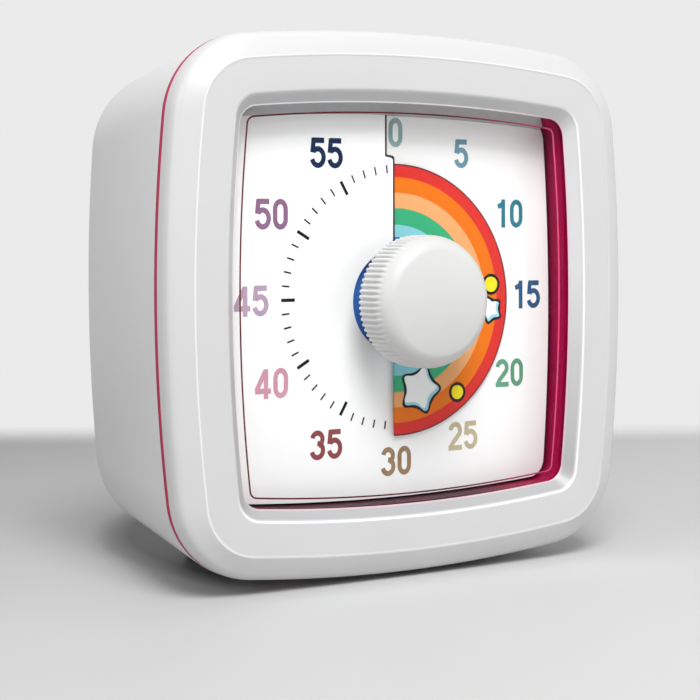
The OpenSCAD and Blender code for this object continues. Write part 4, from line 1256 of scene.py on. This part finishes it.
# ---- Battery and contacts ----
# One AA cell: a drawn steel can in a printed sleeve that is shrunk over both shoulders, between a plate
# contact and a conical spring of plated steel.
cell_x0, cell_x1 = span("battery_cell", X)
top_x = cell_x1 - 1.2
can = [(3, cell_x0 + 0.3), (4.6, cell_x0 + 0.3), (4.8, cell_x0), (6.6, cell_x0), (7.0, cell_x0 + 0.1),
       (7.2, cell_x0 + 0.5), (cell_r, cell_x0 + 1), (cell_r, top_x - 1.1), (7.2, top_x - 0.5),
       (6.9, top_x - 0.1), (6.5, top_x), (5.9, top_x), (5.7, top_x - 0.4), (3.1, top_x - 0.4),
       (2.7, top_x - 0.1), (2.7, cell_x1 - 0.3), (2.6, cell_x1 - 0.1), (2.4, cell_x1)]
cell = solid("cell", rod((cell_y, cell_z), can, 96, X))
sleeve, place, link = surface("cell_sleeve", (0.2, 0.2, 0.2), 0.3, Coat_Weight=0.3)
from_cell = place.mm_from(FACE + Vector((0, cell_y, cell_z)) * MM)
bare = 1 - from_cell.vector("MULTIPLY", (0, 1, 1)).vector("LENGTH", output=1).ramp(5.75, 5.9)
bands = from_cell.part(X).ramp(cell_x1 - 15.2, cell_x1 - 15)
printed = bands.blend((0.015, 0.016, 0.018), (0.60, 0.30, 0.10))
link(Base_Color=bare.blend(printed, (0.62, 0.63, 0.65)), Metallic=(bare + bands * 0.7).maths("MINIMUM", 1.0),
     Roughness=place.noise(700) * 0.18 + 0.2)
dress(cell, sleeve)
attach(cell, "case")
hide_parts("battery_cell")
coat(steel, "positive_contact", "negative_contact")

# ---- Battery door ----
# Light grey moulded door on two moulded pins, with grip grooves at its free edge and a snap tongue.


def door_ring(y, inset):
    """Corners of the door with its two lower ones rounded."""
    left, low, right = -door_half + inset, door_low + inset, door_half - inset
    points = [(left, hinge_z), (right, hinge_z)]
    for cx, start in ((right - 1, 0), (left + 1, -90)):
        for i in range(7):
            a = math.radians(start - 90 * i / 6)
            points.append((cx + math.cos(a), low + 1 + math.sin(a)))
    return [(x, y, z) for x, z in points]


door_rings = [(back_end - door_t, 0), (back_end - 0.25, 0), (back_end - 0.07, 0.07), (back_end, 0.25)]
door = solid("door", [door_ring(y, inset) for y, inset in door_rings])
barrel = [(pin_r - 0.15, -door_half - 1), (pin_r, -door_half - 0.85), (pin_r, -door_half),
          (hinge_r, -door_half)]
barrel += [(radius, -x) for radius, x in barrel[::-1]]
snap = block((-5, 5), (back_end - door_t - 1.4, back_end - door_t + 0.1), (bay_low + 0.4, bay_low + 1.4))
join(door, rod(hinge, barrel, 40, X), snap)
grip_pitch = 1.8
carve(door, *[block((-grip_half, grip_half), (back_end - 0.4, back_end + 1), (z, z + 0.8))
              for z in [door_low + grip_pitch * k for k in (1, 2, 3)]])
dress(door, case_plastic, 35)
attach(door, "battery_door")
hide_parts("battery_door")

# ---- Feet ----
# Four soft grey rubber pads pressed into their bosses, with a rounded edge and a dished middle.
foot = [(foot_r, ground_z + 1.6), (foot_r, ground_z + 0.3), (foot_r - 0.1, ground_z + 0.1), (3.05, ground_z),
        (2.2, ground_z), (2.0, ground_z + 0.15)]
feet = solid("feet", *rods(foot_places, foot, 48, Z))
rubber = grained("foot_rubber", (0.10, 0.105, 0.11), 0.7,
                 tone=(800, 3, (0.085, 0.09, 0.095), (0.12, 0.125, 0.13)),
                 shine=(900, 2, 0.15, 0.62), relief=(5000, 2, 0.00001))
dress(feet, rubber)
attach(feet, "case")
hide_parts("rubber_feet")

# ---- Floor and light ----
# A pale sheet that fades out behind the timer, a bright room and four soft lamps: one high and one lower
# at the front left, one level with the timer at its left and a weak one at its right.
reach = 2500
sheet_t = 2
floor = solid("floor", [[(-reach, -reach, z), (reach, -reach, z), (reach, reach, z), (-reach, reach, z)]
                        for z in (ground_z - sheet_t, ground_z)])
ground, place, link = surface("floor", (0.5, 0.5, 0.5), 0.55)
ahead = Vector((math.sin(heading), math.cos(heading), 0))
aside = Vector((math.cos(heading), -math.sin(heading), 0))
away = place.vector("DOT_PRODUCT", ahead, 1)
right = place.vector("DOT_PRODUCT", aside, 1).ramp(-0.09, 0.10)
# Painted shade: the sheet is darker at the left, most of all towards the back
pale = away.ramp(-0.05, 0.16).blend(right.blend((0.455, 0.455, 0.455), (0.575, 0.575, 0.575)),
                                    right.blend((0.34, 0.34, 0.34), (0.57, 0.57, 0.57)))
# Painted shadow: the sheet is darkened round where the case stands, fading out just in front of it
shadow_y = 0.0155
shadow_half = (0.0337, 0.0555)
shadow_place = place.vector("SUBTRACT", (0, shadow_y, 0))
shadow_place = shadow_place.vector("MULTIPLY", (1 / shadow_half[0], 1 / shadow_half[1], 0))
spread = shadow_place.vector("LENGTH", output=1).ramp(0.82, 1.0)
before = 1 - place.part(Y).ramp(-0.012, -0.003)
link(Base_Color=spread.maths("MAXIMUM", before).blend((0.08, 0.08, 0.08), pale))
sheet_end = camera.location.dot(ahead) + 0.426
fade_w = 0.048
tree = ground.node_tree
nothing = tree.nodes.new("ShaderNodeBsdfTransparent")
mix_shaders(tree, away.ramp(sheet_end, sheet_end + fade_w).socket, tree.nodes["Principled BSDF"].outputs[0],
            nothing.outputs[0], tree.nodes["Material Output"].inputs["Surface"])
dress(floor, ground, 40)

world = bpy.data.worlds.new("studio")
bpy.context.scene.world = world
world.use_nodes = True
tree = world.node_tree
room = tree.nodes["Background"]
room.inputs[0].default_value = (1, 1, 1, 1)
room.inputs[1].default_value = 0.3
seen = tree.nodes.new("ShaderNodeBackground")
seen.inputs[0].default_value = (0.83, 0.83, 0.83, 1)
path = tree.nodes.new("ShaderNodeLightPath")
shown = Value(tree, path.outputs["Is Camera Ray"])
for kind in ("Is Glossy Ray", "Is Transmission Ray"):
    shown = shown.maths("MAXIMUM", Value(tree, path.outputs[kind]))
mix_shaders(tree, shown.socket, room.outputs[0], seen.outputs[0], tree.nodes["World Output"].inputs[0])


def lamp(name, azimuth, elevation, distance, size, power):
    """A square soft light aimed at the timer. Azimuth is from the front, to the right."""
    data = bpy.data.lights.new(name, "AREA")
    data.size = size
    data.energy = power
    made = bpy.data.objects.new(name, data)
    bpy.context.scene.collection.objects.link(made)
    turn = math.radians(azimuth)
    rise = math.radians(elevation)
    back = Vector((math.sin(turn) * math.cos(rise), -math.cos(turn) * math.cos(rise), math.sin(rise)))
    made.location = Vector((0, 0, 0.04)) + back * distance
    made.rotation_mode = "QUATERNION"
    made.rotation_quaternion = back.to_track_quat("Z", "Y")


lamp("key", -20, 55, 0.6, 0.25, 2.95)
lamp("front", -20, 42, 0.6, 0.25, 1.15)
lamp("left", -85, 20, 0.6, 0.4, 0.75)
lamp("right", 60, 14, 0.5, 0.3, 0.55)

bpy.context.scene.view_settings.view_transform = "Standard"
